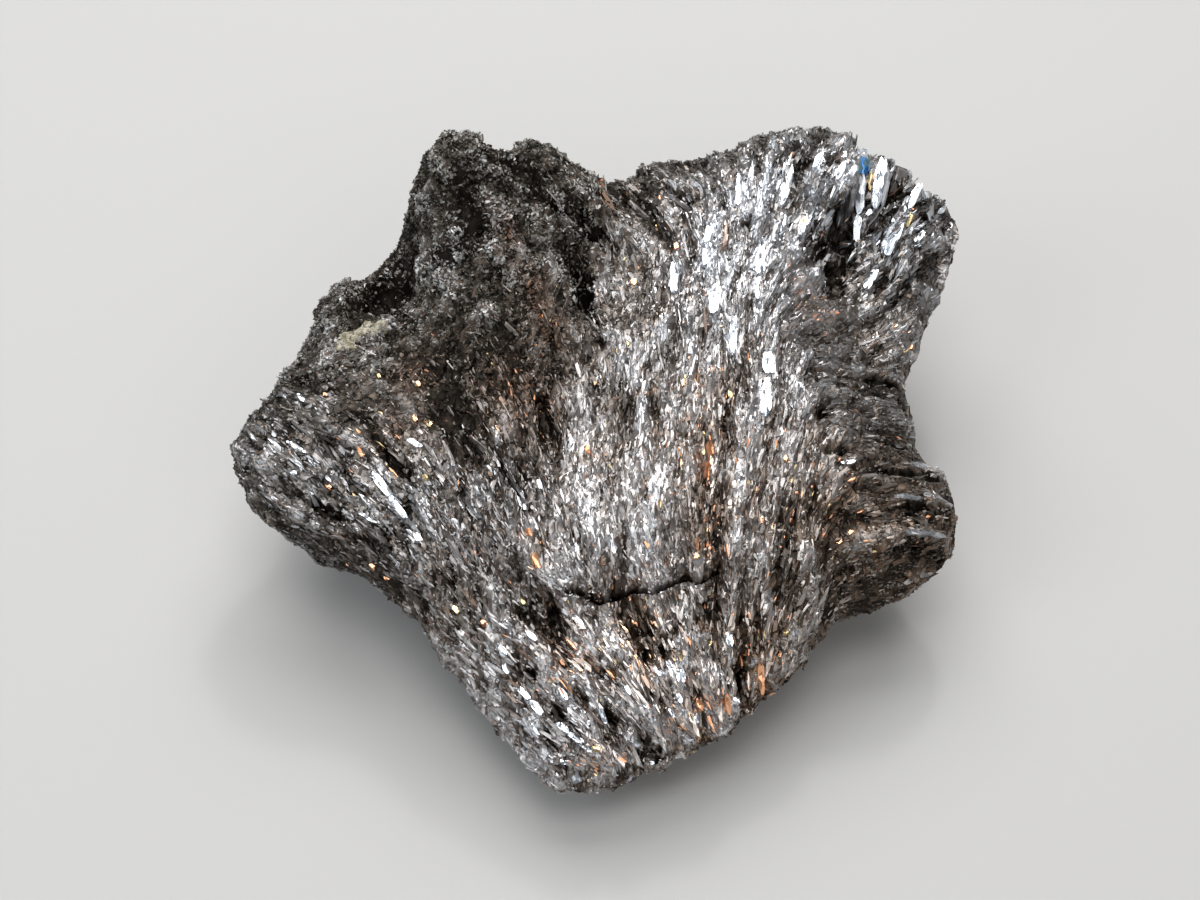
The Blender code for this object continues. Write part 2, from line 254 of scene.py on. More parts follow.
def putAttributes(mesh, named):
    # stores numbers or vectors by name, one for each vertex
    for name, values in named.items():
        values = np.asarray(values, np.float32)
        kind, field = ("FLOAT_VECTOR", "vector") if values.ndim == 2 else ("FLOAT", "value")
        mesh.attributes.new(name, kind, "POINT").data.foreach_set(field, values.ravel())


def newMesh(name, shape):
    mesh = bpy.data.meshes.new(name)
    shape.to_mesh(mesh)
    shape.free()
    return mesh


def newObject(name, data):
    made = bpy.data.objects.new(name, data)
    bpy.context.scene.collection.objects.link(made)
    return made


def evaluatedMesh(item, name):
    graph = bpy.context.evaluated_depsgraph_get()
    mesh = bpy.data.meshes.new_from_object(item.evaluated_get(graph))
    mesh.name = name
    return mesh


def unit(vectors):
    return vectors / np.linalg.norm(vectors, axis=1, keepdims=True)


def smoothed(values, edges, rounds):
    # each vertex moves halfway to the mean of its neighbours, round after round
    count = len(values)
    degree = np.bincount(edges.ravel(), minlength=count)[:, None]
    for _ in range(rounds):
        total = np.column_stack([
            np.bincount(edges[:, 0], values[edges[:, 1], k], count)
            + np.bincount(edges[:, 1], values[edges[:, 0], k], count)
            for k in range(values.shape[1])
        ])
        values = values * 0.5 + total / degree * 0.5
    return values


def groundAt(x, y):
    # the blades' heading (an angle in radians), their shine, crust, rust and coarseness
    table = np.array(list(grounds.values()))
    away = (x[:, None] - table[:, 0]) ** 2 + (y[:, None] - table[:, 1]) ** 2
    near = away.min(1, keepdims=True)
    weight = np.exp(-(away - near) / (2 * groundReach**2))
    weight /= weight.sum(1, keepdims=True)
    double = np.radians(2 * table[:, 2])
    heading = 0.5 * np.arctan2(weight @ np.sin(double), weight @ np.cos(double))
    outward = np.arctan2(y - fanRoot[1], x - fanRoot[0])
    heading = np.where(np.cos(heading - outward) < 0, heading + pi, heading)
    return heading, *(weight @ table[:, 3:]).T


def groundsAt(x, y):
    # the same for many points, a part at a time to spare memory
    parts = [groundAt(*part) for part in zip(np.array_split(x, 60), np.array_split(y, 60))]
    return [np.concatenate(values) for values in zip(*parts)]


combing = {"cell": 0.15, "edge": 34.0}  # mm between the plan grid's points, and half its side


def planGrid(cell):
    # how many cells lie along a side of the grid, and where their middles are
    count = int(2 * combing["edge"] / cell)
    ticks = (np.arange(count) + 0.5) * cell - combing["edge"]
    return count, *(grid.ravel() for grid in np.meshgrid(ticks, ticks))


def cellAt(x, y, cell, count):
    # the row and column of the grid's cell under each place
    return tuple(np.clip((value + combing["edge"]) / cell, 0, count - 1).astype(int) for value in (y, x))


def combedNoise(seed, width, length):
    # random specks drawn out into streaks that follow the blades
    cell = combing["cell"]
    count, gridX, gridY = planGrid(cell)
    heading = groundsAt(gridX, gridY)[0]
    runX, runY = np.cos(heading), np.sin(heading)
    specks = np.random.default_rng(seed).standard_normal((count, count))
    for _ in range(round((width / cell) ** 2 / 2)):
        total = specks
        for axis, shift in ((0, 1), (0, -1), (1, 1), (1, -1)):
            total = total + np.roll(specks, shift, axis)
        specks = total / 5
    streaks = specks.ravel().copy()
    for side in (1, -1):
        x, y = gridX.copy(), gridY.copy()
        lastX, lastY = runX * side, runY * side
        for _ in range(int(length / cell)):
            row, column = cellAt(x, y, cell, count)
            wayX, wayY = runX[row * count + column], runY[row * count + column]
            turn = np.sign(wayX * lastX + wayY * lastY)
            lastX, lastY = wayX * turn, wayY * turn
            x += lastX * cell
            y += lastY * cell
            streaks += specks[cellAt(x, y, cell, count)]
    streaks = (streaks - streaks.mean()) / streaks.std()
    return streaks.reshape(count, count)


def potential(slopeX, slopeY, cell, rounds=500):
    # the height field whose slopes come closest to these, found by conjugate gradients
    def gathered(stepX, stepY):
        out = np.zeros_like(slopeX)
        out[:, :-1] -= stepX
        out[:, 1:] += stepX
        out[:-1] -= stepY
        out[1:] += stepY
        return out

    height = np.zeros_like(slopeX)
    rest = gathered((slopeX[:, 1:] + slopeX[:, :-1]) / 2 * cell, (slopeY[1:] + slopeY[:-1]) / 2 * cell)
    way = rest.copy()
    size = (rest * rest).sum()
    for _ in range(rounds):
        spread = gathered(way[:, 1:] - way[:, :-1], way[1:] - way[:-1])
        step = size / (way * spread).sum()
        height += step * way
        rest -= step * spread
        newSize = (rest * rest).sum()
        way = rest + newSize / size * way
        size = newSize
    return height


def combCoordinates(x, y):
    # how far along the blades a point lies, and how far across them, in mm
    cell = 2 * combing["cell"]
    count, gridX, gridY = planGrid(cell)
    heading = groundsAt(gridX, gridY)[0].reshape(count, count)
    along = potential(np.cos(heading), np.sin(heading), cell)
    across = potential(-np.sin(heading), np.cos(heading), cell)
    return readGrid(along, x, y, cell), readGrid(across, x, y, cell)


def readGrid(grid, x, y, cell=None):
    cell, edge = cell or combing["cell"], combing["edge"]
    across = np.clip((x + edge) / cell - 0.5, 0, grid.shape[1] - 2.001)
    up = np.clip((y + edge) / cell - 0.5, 0, grid.shape[0] - 2.001)
    column, row = across.astype(int), up.astype(int)
    partX, partY = across - column, up - row
    low = grid[row, column] * (1 - partX) + grid[row, column + 1] * partX
    high = grid[row + 1, column] * (1 - partX) + grid[row + 1, column + 1] * partX
    return low * (1 - partY) + high * partY


def noiseAt(points, size, layer):
    return np.array([noise.noise(p / size + Vector((layer, layer, layer))) for p in points])


def pathDistance(x, y, path):
    best = np.full(len(x), 1e9)
    for (x1, y1), (x2, y2) in zip(path, path[1:]):
        dx, dy = x2 - x1, y2 - y1
        along = np.clip(((x - x1) * dx + (y - y1) * dy) / (dx * dx + dy * dy), 0, 1)
        best = np.minimum(best, np.hypot(x - x1 - along * dx, y - y1 - along * dy))
    return best


def hashed(cells, seed):
    # four random values between 0 and 1 for each whole-numbered cell
    mixed = (cells * np.array([73856093, 19349663, 83492791])).sum(1) + seed * 15485863
    values = []
    for _ in range(4):
        mixed = (mixed ^ (mixed >> 13)) * 1274126177 & 0xFFFFFFFF
        mixed = (mixed ^ (mixed >> 16)) * 2246822519 & 0xFFFFFFFF
        values.append((mixed & 0xFFFFFF) / float(0x1000000))
    return np.column_stack(values)


def laths(coordinates, size, seed):
    # which lath each point belongs to, as four random values, and how far it lies from its middle
    scaled = coordinates / size
    corner = np.floor(scaled).astype(np.int64)
    nearest = np.full(len(scaled), 1e9)
    kind = np.zeros((len(scaled), 4))
    offset = np.zeros_like(scaled)
    for step in np.ndindex(3, 3, 3):
        cell = corner + step - 1
        values = hashed(cell, seed)
        away = scaled - cell - values[:, :3]
        distance = (away**2).sum(1)
        closer = distance < nearest
        nearest[closer] = distance[closer]
        kind[closer] = values[closer]
        offset[closer] = away[closer]
    return kind, offset * size


def upperHeight(points):
    # a soft height map of the upper face, on a plan grid, and how far from the rim each place is
    cell = 4 * combing["cell"]
    count = int(2 * combing["edge"] / cell)
    height = np.zeros((count, count))
    np.maximum.at(height, cellAt(points[:, 0], points[:, 1], cell, count), points[:, 2])
    filled = (height > 0).astype(float)

    def around(grid):
        return sum(np.roll(grid, shift, axis) for shift in (1, -1) for axis in (0, 1))

    inland = np.zeros_like(height)
    inner = filled.copy()
    for _ in range(8):
        inner = inner * (around(inner) == 4)
        inland += inner * cell
    for _ in range(60):
        share = around(filled)
        grown = np.where(share > 0, around(height * filled) / np.maximum(share, 1), 0)
        height = np.where(filled > 0, height, grown)
        filled = np.maximum(filled, share > 0)
    for _ in range(18):
        height = (height + around(height)) / 5
    return height, inland, cell


massSettings = {
    "voxel": 0.17,
    "triangles": 190000,  # aimed at, and somewhat fewer come out
    "rounding": 26,  # rounds of smoothing, which take the edge off the rim
    "lieRounding": 14,  # the same for the way the surface faces
    "bundle": (6.5, 1.7, 1.7),  # length, width and depth of a bundle of laths
    "bundleRise": 0.50,
    "bundleTilt": (0.05, 0.30, 0.25),
    "lath": (3.0, 0.72, 0.8),
    "lathRise": 0.30,
    "lathTilt": (0.10, 0.55, 0.45),
    "chip": (1.1, 0.36, 0.4),
    "chipRise": 0.13,
    "chipTilt": (0.18, 0.55, 0.5),
    "broadRib": (0.22, 0.75, 4.0),  # height, width and length
    "slots": 0.36,  # how much deeper the lowest tenth of the broad ribs goes
    "shelving": 0.9,  # how much flatter than the slope the coarse, bright blades lie
    "lumps": 0.80,
    "coarseLumps": 0.30,  # added where the blades are coarse
    "lumpSizes": (2.4, 1.1),
    "grit": 0.36,
    "gritSize": 0.75,
    "straySize": 0.9,  # of the noise that strays from blade to blade
    "ragged": 0.55,  # how far the hollows' edges wander
    "rimRoom": 0.4,  # about half the length of a blade at the rim
    "rimWidth": 1.5,  # the relief calms down and the blades get finer this near to the rim
    "sink": (0.35, 0.4),  # the relief starts this far inside, and further under crust
    "crackWidth": 0.09,
    "crackDepth": 1.8,
    "crackRagged": 0.18,
    "restHeight": 0.25,  # below this the underside keeps its own, lower relief
    "undersideRelief": 1.1,
}


def evenShell():
    # the frame's lump, remade with small faces of one size
    shell = bmesh.new()
    shell.from_mesh(frame["nodes"]["crystal_spray"].data)
    bmesh.ops.remove_doubles(shell, verts=shell.verts, dist=1e-6)
    start = newObject("massStart", newMesh("massStart", shell))
    remesh = start.modifiers.new("evenFaces", "REMESH")
    remesh.mode = "VOXEL"
    remesh.voxel_size = massSettings["voxel"] * mm
    mesh = evaluatedMesh(start, "crystalMass")
    bpy.data.objects.remove(start)
    return mesh


def hollowDepth(x, y):
    # how far the hollows sink each place
    down = np.zeros(len(x))
    for midX, midY, length, width, way, depth in hollows.values():
        along = (x - midX) * cos(radians(way)) + (y - midY) * sin(radians(way))
        across = (y - midY) * cos(radians(way)) - (x - midX) * sin(radians(way))
        down += depth * np.exp(-((2 * along / length) ** 4) - (2 * across / width) ** 2)
    return down


def warmth(x, y):
    # how close each place is to a warm spot, 0 to 1
    warm = np.zeros(len(x))
    for spotX, spotY, radius in warmSpots.values():
        warm = np.maximum(warm, np.exp(-((x - spotX) ** 2 + (y - spotY) ** 2) / radius**2))
    return warm


def crystalMass():
    s = massSettings
    mesh = evenShell()
    place = vertexArray(mesh) / mm
    edges = np.empty(len(mesh.edges) * 2, np.int32)
    mesh.edges.foreach_get("vertices", edges)
    edges = edges.reshape(-1, 2)
    soft = smoothed(place, edges, s["rounding"])
    resting = place[:, 2] < s["restHeight"]
    soft[resting, 2] = place[resting, 2]
    moveVertices(mesh, soft)
    lie = unit(smoothed(vertexArray(mesh, "normal"), edges, s["lieRounding"]))

    x, y, z = soft.T
    heading, shineAndPaintedLight, crust, rust, coarse = groundsAt(x, y)
    facing = np.clip(lie[:, 2] * 2.2 + 0.35, 0, 1)  # 1 on the upper face, 0 underneath
    # painted shade: the shine that lightens the colour is cut towards the underside
    shineAndPaintedLight *= 0.55 + 0.45 * facing
    along, across = combCoordinates(x, y)
    height, inland, gridCell = upperHeight(soft)
    rimRoom = readGrid(inland, x, y, gridCell)
    calm = np.clip(rimRoom / s["rimWidth"], 0, 1)  # 0 at the rim, 1 away from it
    rough = np.clip((coarse - 1.0) / 0.22, 0, 1)  # 1 where the blades are coarsest
    loose = np.clip((coarse - 0.62) / 0.33, 0.5, 1)  # how freely the blades turn, less where they are fine
    comb = np.column_stack([along, across, z - readGrid(height, x, y, gridCell)])

    # laths within bundles, and chips on them, each tilted and raised by chance
    rise = np.zeros(len(x))
    for number, piece in enumerate(("bundle", "lath", "chip")):
        kind, offset = laths(comb, np.array(s[piece]), 5 + number)
        tilt = (kind[:, :3] - 0.5) * 2 * s[piece + "Tilt"]
        rise += (kind[:, 3] - 0.5) * 2 * s[piece + "Rise"] * 0.5 + (offset * tilt).sum(1)
        if piece == "lath":
            bundle = 0.5 * kind[:, 3]
    ribHeight, ribWidth, ribLength = s["broadRib"]
    broad = readGrid(combedNoise(8, ribWidth, ribLength), x, y)
    broad *= 0.3 + 0.7 * facing
    points = [Vector(p) for p in soft]
    lumpy = noiseAt(points, s["lumpSizes"][0], 11) + 0.5 * noiseAt(points, s["lumpSizes"][1], 23)
    grit = noiseAt(points, s["gritSize"], 31)
    stray = noiseAt(points, s["straySize"], 47)
    rise = (1 - crust) * (rise + ribHeight * broad - s["slots"] * np.clip(-broad - 1.2, 0, 1.2))
    rise *= (0.5 + 0.5 * calm) * np.clip(coarse, 0.5, 1.1) ** 2
    rise -= s["sink"][0] + s["sink"][1] * crust
    rise += (0.15 + 0.85 * crust) * s["lumps"] * lumpy + (0.3 + 0.7 * crust) * s["grit"] * grit
    rise += s["coarseLumps"] * rough * lumpy * calm

    # how light each lath is, and how light the crust is: partly by chance, partly painted light and
    # shade, as laths that stand higher, raised ribs and lumps are painted lighter and low parts darker
    bundle = np.clip(bundle + 0.25 + 0.20 * broad + (0.2 + 0.5 * rough) * (stray + 0.8 * lumpy), 0, 1)
    bundle = 0.5 + (bundle - 0.5) * (0.3 + 0.7 * loose)
    # painted shade: the crust is lighter on its lumps and grit and darker in the pits between them
    bundle = bundle * (1 - crust) + np.clip(0.45 + 0.55 * lumpy + 0.45 * grit, 0, 1) * crust

    # hollows and the crack, then the underside
    down = hollowDepth(x + s["ragged"] * grit, y + s["ragged"] * stray)
    gap = pathDistance(x + s["crackRagged"] * grit, y + s["crackRagged"] * stray, crack)
    down += s["crackDepth"] * np.exp(-((gap / s["crackWidth"]) ** 2))
    down *= np.clip(lie[:, 2] * 3, 0, 1)
    raised = np.clip((z - s["restHeight"]) / 2.0, 0, 1)
    final = soft + lie * (rise * raised)[:, None]
    final[:, 2] = np.maximum(final[:, 2] - down, 0.0)
    inner = np.clip((-lie[:, 2] - 0.8) / 0.18, 0, 1)  # 1 under the middle, where nothing of the rim shows
    pitted = inner * s["undersideRelief"] * np.clip(0.32 + 0.75 * lumpy + 0.55 * grit + 0.25 * stray, 0, 1)
    final[resting, 2] = np.where(lie[resting, 2] < 0, pitted[resting], final[resting, 2])
    moveVertices(mesh, final)

    # which way the blades on it lie and run
    lie = unit(smoothed(vertexArray(mesh, "normal"), edges, 3))
    lie[:, 2] += s["shelving"] * rough * shineAndPaintedLight * calm
    lie = unit(lie)
    grain = np.column_stack([np.cos(heading), np.sin(heading), np.zeros(len(x))])
    grain -= (grain * lie).sum(1, keepdims=True) * lie
    grain /= np.linalg.norm(grain, axis=1, keepdims=True) + 1e-6

    # how deep the hollows and crack sink, 0 to 1; it also paints shade: the mass is darkened there
    holeShare = np.clip(down / 0.8, 0, 1)
    aloft = np.clip((z - 1.0) / 1.2, 0, 1)  # nothing long grows where it would reach the ground
    clear = aloft * np.clip((gap - 0.04) / 0.12, 0, 1)  # nor over the crack
    putAttributes(mesh, {
        "comb": comb,
        "lie": lie,
        "grain": grain,
        "bundle": bundle,
        "warm": warmth(x, y),
        "rust": rust,
        "crust": crust,
        "hollowShade": holeShare,
        "loose": loose,
        # painted shade: half the shine, so a darker colour, in the hollows
        "shineAndPaintedLight": shineAndPaintedLight * (1 - 0.5 * holeShare),
        "coarse": (1 + 0.5 * (coarse - 1)) * (0.65 + 0.35 * calm),
        "room": np.minimum(gap, s["rimRoom"] + rimRoom) * mm,
        # where each layer grows
        "fibre": np.clip(1 - crust * 1.25, 0.0, 1) * clear * (1 - 0.75 * holeShare) / coarse,
        "crumb": np.clip(crust * 1.3 - 0.15, 0.0, 1) * clear * (1 - 0.8 * holeShare),
        "lustre": np.clip((shineAndPaintedLight - 0.68) / 0.2, 0, 1) * calm * clear * (1 - holeShare),
        "low": (1 - aloft) * np.clip((final[:, 2] - 0.12) / 0.2, 0, 1),
    })

    thick = newObject("massThick", mesh)
    thinning = thick.modifiers.new("fewerFaces", "DECIMATE")
    thinning.ratio = s["triangles"] / (2 * len(mesh.polygons))
    thinned = evaluatedMesh(thick, "crystalMass")
    bpy.data.objects.remove(thick)
    print("crystal mass:", len(mesh.polygons), "faces thinned to", len(thinned.polygons))
    return newObject("crystalMass", thinned)


def surfaceShader(name):
    material = bpy.data.materials.new(name)
    material.use_nodes = True
    tree = material.node_tree
    return material, tree, tree.nodes["Principled BSDF"]


def weighted(tree, start, *terms):
    # start, plus each term times its weight
    for term, weight in terms:
        start = maths(tree, "MULTIPLY_ADD", term, weight, start)
    return start


def vectorMaths(tree, operation, first, second):
    return addNode(tree, "ShaderNodeVectorMath", {"operation": operation}, {0: first, 1: second}).outputs[0]


def scaledVector(tree, vector, factor):
    inputs = {0: vector, "Scale": factor}
    return addNode(tree, "ShaderNodeVectorMath", {"operation": "SCALE"}, inputs).outputs[0]


def attribute(tree, name, output="Fac"):
    return addNode(tree, "ShaderNodeAttribute", {"attribute_name": name}).outputs[output]


def objectPlace(tree):
    return addNode(tree, "ShaderNodeTexCoord").outputs["Object"]


def noiseTexture(tree, place, scale, detail):
    inputs = {"Vector": place, "Scale": scale, "Detail": detail}
    return addNode(tree, "ShaderNodeTexNoise", inputs=inputs).outputs[0]


def colourRamp(tree, factor, stops, colours, interpolation="LINEAR"):
    ramp = addNode(tree, "ShaderNodeValToRGB", inputs={0: factor})
    ramp.color_ramp.interpolation = interpolation
    elements = ramp.color_ramp.elements
    while len(elements) < len(stops):
        elements.new(0.5)
    for element, place, colour in zip(elements, stops, colours):
        element.position = place
        element.color = (*colour, 1.0)
    return ramp.outputs[0]


def mixColour(tree, share, first, second, blend="MIX"):
    first, second = ((*colour, 1.0) if isinstance(colour, tuple) else colour for colour in (first, second))
    settings = {"data_type": "RGBA", "blend_type": blend}
    return addNode(tree, "ShaderNodeMix", settings, {0: share, 6: first, 7: second}).outputs[2]


def flecks(tree, place, size, tilt, tiltShare):
    # small flat facets: three random values for each, and a normal that it tilts
    scaled = vectorMaths(tree, "DIVIDE", place, size)
    cells = addNode(tree, "ShaderNodeTexVoronoi", inputs={"Vector": scaled, "Scale": 1.0, "Randomness": 1.0})
    lean = vectorMaths(tree, "SUBTRACT", cells.outputs["Color"], (0.5, 0.5, 0.5))
    lean = scaledVector(tree, lean, maths(tree, "MULTIPLY", tiltShare, 2 * tilt))
    normal = vectorMaths(tree, "ADD", addNode(tree, "ShaderNodeNewGeometry").outputs["Normal"], lean)
    normal = addNode(tree, "ShaderNodeVectorMath", {"operation": "NORMALIZE"}, {0: normal}).outputs[0]
    parts = addNode(tree, "ShaderNodeSeparateXYZ", inputs={0: cells.outputs["Color"]}).outputs
    return parts[0], parts[1], parts[2], normal


def wireSurface(tree, surface, colour, roughness, metallic, bump):
    # bump holds the inputs of a Bump node
    tree.links.new(colour, surface.inputs["Base Color"])
    tree.links.new(roughness, surface.inputs["Roughness"])
    surface.inputs["Metallic"].default_value = metallic
    tree.links.new(addNode(tree, "ShaderNodeBump", inputs=bump).outputs[0], surface.inputs["Normal"])


bladeFinish = {
    "black": (0.038, 0.032, 0.028),
    "lead": (0.250, 0.240, 0.236),
    "steel": (0.575, 0.59, 0.62),
    "bright": (0.87, 0.925, 1.0),
    "stops": (0.05, 0.34, 0.68, 1.0),  # the levels of these four
    "brown": (0.17, 0.105, 0.070),
    "copper": (1.0, 0.52, 0.30),
    "gold": (0.86, 0.68, 0.36),
    "blue": (0.045, 0.15, 0.36),
    "paleBlue": (0.30, 0.50, 0.62),
    "brownShare": 0.03,
    "rustyBrownShare": 0.26,
    "brownDepth": 0.75,
    "rustCast": (1.0, 0.84, 0.70),  # tints everything where the rust is full
    "tarnishShare": 0.004,
    "warmTarnishShare": 0.11,  # where a warm spot is
    "warmCast": (1.0, 0.74, 0.56),
    "roughness": (0.13, 0.42),
    "dullRoughness": 0.45,  # how much rougher a blade is where nothing shines
    "packedRoughness": 0.25,  # and where the blades are fine and tightly packed
    "facet": (0.8, 0.30, 0.30),  # mm along and across the blade
    "facetTilt": 0.26,
    "lines": (900.0, 9000.0, 4000.0),  # to a metre, along and across the blade
    "lineDepth": 0.05,  # mm
    # how much each thing lightens a blade, from a dark start; shine and bundle paint light and shade into the
    # colour
    "start": -0.17,
    "byBundleAndReliefShade": 0.62,
    "byShineAndPaintedLight": 0.60,
    "changeStart": -0.38,
    "byFacet": 0.24,
    "byLines": 0.20,
    "byTone": 0.32,
}


def bladeMaterial():
    f = bladeFinish
    material, tree, surface = surfaceShader("stibniteBlade")
    tone, tint, shineAndPaintedLight, warm, bundle, rust, loose = (
        attribute(tree, name) for name in ("tone", "tint", "shineAndPaintedLight", "warm", "bundle", "rust", "loose"))
    run, size = (attribute(tree, name, "Vector") for name in ("bladeRun", "bladeSize"))
    shift = addNode(tree, "ShaderNodeCombineXYZ", inputs={0: tone, 1: tint}).outputs[0]
    place = vectorMaths(tree, "ADD", vectorMaths(tree, "MULTIPLY", run, size), shift)
    facet = [side * mm for side in f["facet"]]
    first, second, third, normal = flecks(tree, place, facet, f["facetTilt"], loose)
    lines = noiseTexture(tree, vectorMaths(tree, "MULTIPLY", place, f["lines"]), 1.0, 3.0)

    change = weighted(
        tree, f["changeStart"], (first, f["byFacet"]), (lines, f["byLines"]), (tone, f["byTone"]))
    # painted light and shade: shine lightens where the light falls and darkens underneath and in hollows,
    # bundle lightens raised parts
    level = weighted(tree, f["start"], (bundle, f["byBundleAndReliefShade"]), (shineAndPaintedLight, f["byShineAndPaintedLight"]), (change, loose))
    metal = colourRamp(tree, level, f["stops"], [f[name] for name in ("black", "lead", "steel", "bright")])
    cast = mixColour(tree, rust, (1.0, 1.0, 1.0), f["rustCast"])
    cast = mixColour(tree, maths(tree, "MULTIPLY", warm, 0.5), cast, f["warmCast"])
    metal = mixColour(tree, 1.0, metal, cast, "MULTIPLY")

    brownBelow = weighted(tree, f["brownShare"], (rust, f["rustyBrownShare"]))
    isBrown = maths(tree, "MULTIPLY", maths(tree, "LESS_THAN", tint, brownBelow), f["brownDepth"])
    tarnished = weighted(tree, f["tarnishShare"], (warm, f["warmTarnishShare"] - f["tarnishShare"]))
    isTarnished = maths(tree, "GREATER_THAN", third, maths(tree, "SUBTRACT", 1.0, tarnished))
    isBlue = maths(tree, "GREATER_THAN", tint, 1.2)
    hue = colourRamp(tree, tint, (0.0, 0.75), (f["copper"], f["gold"]), "CONSTANT")
    blue = mixColour(tree, maths(tree, "GREATER_THAN", first, 0.66), f["blue"], f["paleBlue"])
    colour = mixColour(tree, isTarnished, mixColour(tree, isBrown, metal, f["brown"]), hue)
    colour = mixColour(tree, isBlue, colour, blue)

    low, high = f["roughness"]
    rough = weighted(
        tree, low + 0.05 + f["packedRoughness"] + 0.9 * f["dullRoughness"],
        (second, high - low), (loose, -f["packedRoughness"]), (tone, -0.10), (shineAndPaintedLight, -f["dullRoughness"]))
    wireSurface(tree, surface, colour, maths(tree, "MAXIMUM", rough, low), 1.0, {
        "Strength": weighted(tree, -0.20, (loose, 0.55)), "Distance": f["lineDepth"] * mm,
        "Height": lines, "Normal": normal,
    })
    return material


coreFinish = {
    "deep": (0.022, 0.017, 0.013),
    "dim": (0.135, 0.120, 0.108),
    "brown": (0.155, 0.100, 0.066),
    "lead": (0.345, 0.325, 0.315),
    "steel": (0.66, 0.67, 0.70),
    "stops": (0.10, 0.36, 0.58, 0.95),  # the levels of deep, dim, lead and steel
    "rustyStops": (0.10, 0.36, 0.62, 0.95),  # of deep, brown, lead and steel
    "facet": (0.55, 0.24, 0.24),
    "facetTilt": 0.30,
    "patches": 300.0,  # to a metre
    "patchDepth": 0.1,  # mm
    # how much each thing lightens the mass, from a dark start; shine, bundle and the hollows paint light and
    # shade into the colour
    "start": -0.55,
    "byBundleAndReliefShade": 0.60,
    "byPatches": 0.4,
    "byShineAndPaintedLight": 0.65,
    "byFacet": 0.35,
    "byCrust": -0.30,
    "byHollowShade": -0.4,
}


def coreMaterial():
    f = coreFinish
    material, tree, surface = surfaceShader("grownTogether")
    crust, shineAndPaintedLight, hollowShade, bundle, rust, loose = (
        attribute(tree, name) for name in ("crust", "shineAndPaintedLight", "hollowShade", "bundle", "rust", "loose"))
    comb = attribute(tree, "comb", "Vector")
    first, second, _, normal = flecks(tree, comb, f["facet"], f["facetTilt"], loose)
    patches = noiseTexture(tree, objectPlace(tree), f["patches"], 3.0)
    # painted light and shade: shine and bundle lighten lit and raised parts, the hollow term darkens the
    # hollows
    level = weighted(
        tree, f["start"], (bundle, f["byBundleAndReliefShade"]), (patches, f["byPatches"]), (shineAndPaintedLight, f["byShineAndPaintedLight"]),
        (first, f["byFacet"]), (crust, f["byCrust"]), (hollowShade, f["byHollowShade"]))
    grey = colourRamp(tree, level, f["stops"], [f[name] for name in ("deep", "dim", "lead", "steel")])
    brown = colourRamp(tree, level, f["rustyStops"], [f[name] for name in ("deep", "brown", "lead", "steel")])
    rough = weighted(tree, 0.24, (second, 0.25), (crust, 0.30))
    wireSurface(tree, surface, mixColour(tree, rust, grey, brown), rough, 0.9, {
        "Strength": 0.4, "Distance": f["patchDepth"] * mm, "Height": patches, "Normal": normal,
    })
    return material


crustFinish = {
    "dark": (0.022, 0.022, 0.018),
    "umber": (0.120, 0.104, 0.084),
    "ash": (0.37, 0.368, 0.352),
    "glint": (0.62, 0.63, 0.63),
    "stops": (0.12, 0.42, 0.72, 1.0),  # the levels of these four
    "rust": (0.22, 0.10, 0.055),
    "facet": (0.30, 0.30, 0.30),
    "facetTilt": 0.45,
    "specks": 2600.0,  # to a metre
    "speckDepth": 0.08,  # mm
    "patches": 330.0,
    # how much each thing lightens the crust, from a dark start; shine and bundle paint light and shade into
    # the colour
    "start": -0.74,
    "byBundleAndReliefShade": 0.85,
    "byShineAndPaintedLight": 0.55,
    "byFacet": 0.30,
    "byPatches": 0.7,
    "byTone": 0.20,
}


def crustMaterial():
    f = crustFinish
    material, tree, surface = surfaceShader("dullCrust")
    tone, shineAndPaintedLight, bundle, warm = (attribute(tree, name) for name in ("tone", "shineAndPaintedLight", "bundle", "warm"))
    place = objectPlace(tree)
    first, second, _, normal = flecks(tree, place, [side * mm for side in f["facet"]], f["facetTilt"], 1.0)
    specks = noiseTexture(tree, place, f["specks"], 4.0)
    patches = noiseTexture(tree, place, f["patches"], 2.0)
    # painted light and shade: shine lightens where light falls, bundle lightens lumps and darkens the pits
    # between them
    level = weighted(
        tree, f["start"], (bundle, f["byBundleAndReliefShade"]), (shineAndPaintedLight, f["byShineAndPaintedLight"]), (first, f["byFacet"]),
        (patches, f["byPatches"]), (tone, f["byTone"]))
    colour = colourRamp(tree, level, f["stops"], [f[name] for name in ("dark", "umber", "ash", "glint")])
    colour = mixColour(tree, maths(tree, "MULTIPLY", warm, tone), colour, f["rust"])
    wireSurface(tree, surface, colour, weighted(tree, 0.70, (second, -0.35)), 0.55, {
        "Strength": 0.6, "Distance": f["speckDepth"] * mm, "Height": specks, "Normal": normal,
    })
    return material


# Cross-sections of a blade, in widths and thicknesses, how far its two ends are cut back at
# every corner, and how wide it is at its two ends against its middle.
bladeSections = {
    "lath": ([(-0.5, -0.2), (0.4, -0.5), (0.5, 0.3), (-0.36, 0.5)], (0.04, 0.16, 0.10, 0.0), (0.62, 0.8)),
    "roof": ([(-0.5, -0.3), (0.5, -0.35), (0.12, 0.5)], (0.0, 0.12, 0.24), (0.8, 0.3)),
    "slat": ([(-0.5, -0.3), (0.5, -0.4), (0.46, 0.38), (-0.44, 0.42)], (0.16, 0, 0.06, 0.22), (0.9, 0.55)),
    "keel": ([(-0.5, 0.0), (0.05, -0.5), (0.5, 0.1), (-0.08, 0.5)], (0.18, 0.02, 0.0, 0.2), (0.35, 0.7)),
    "splinter": ([(-0.5, -0.4), (0.5, -0.2), (0.0, 0.5)], (0.1, 0.0, 0.05), (0.25, 0.5)),
}


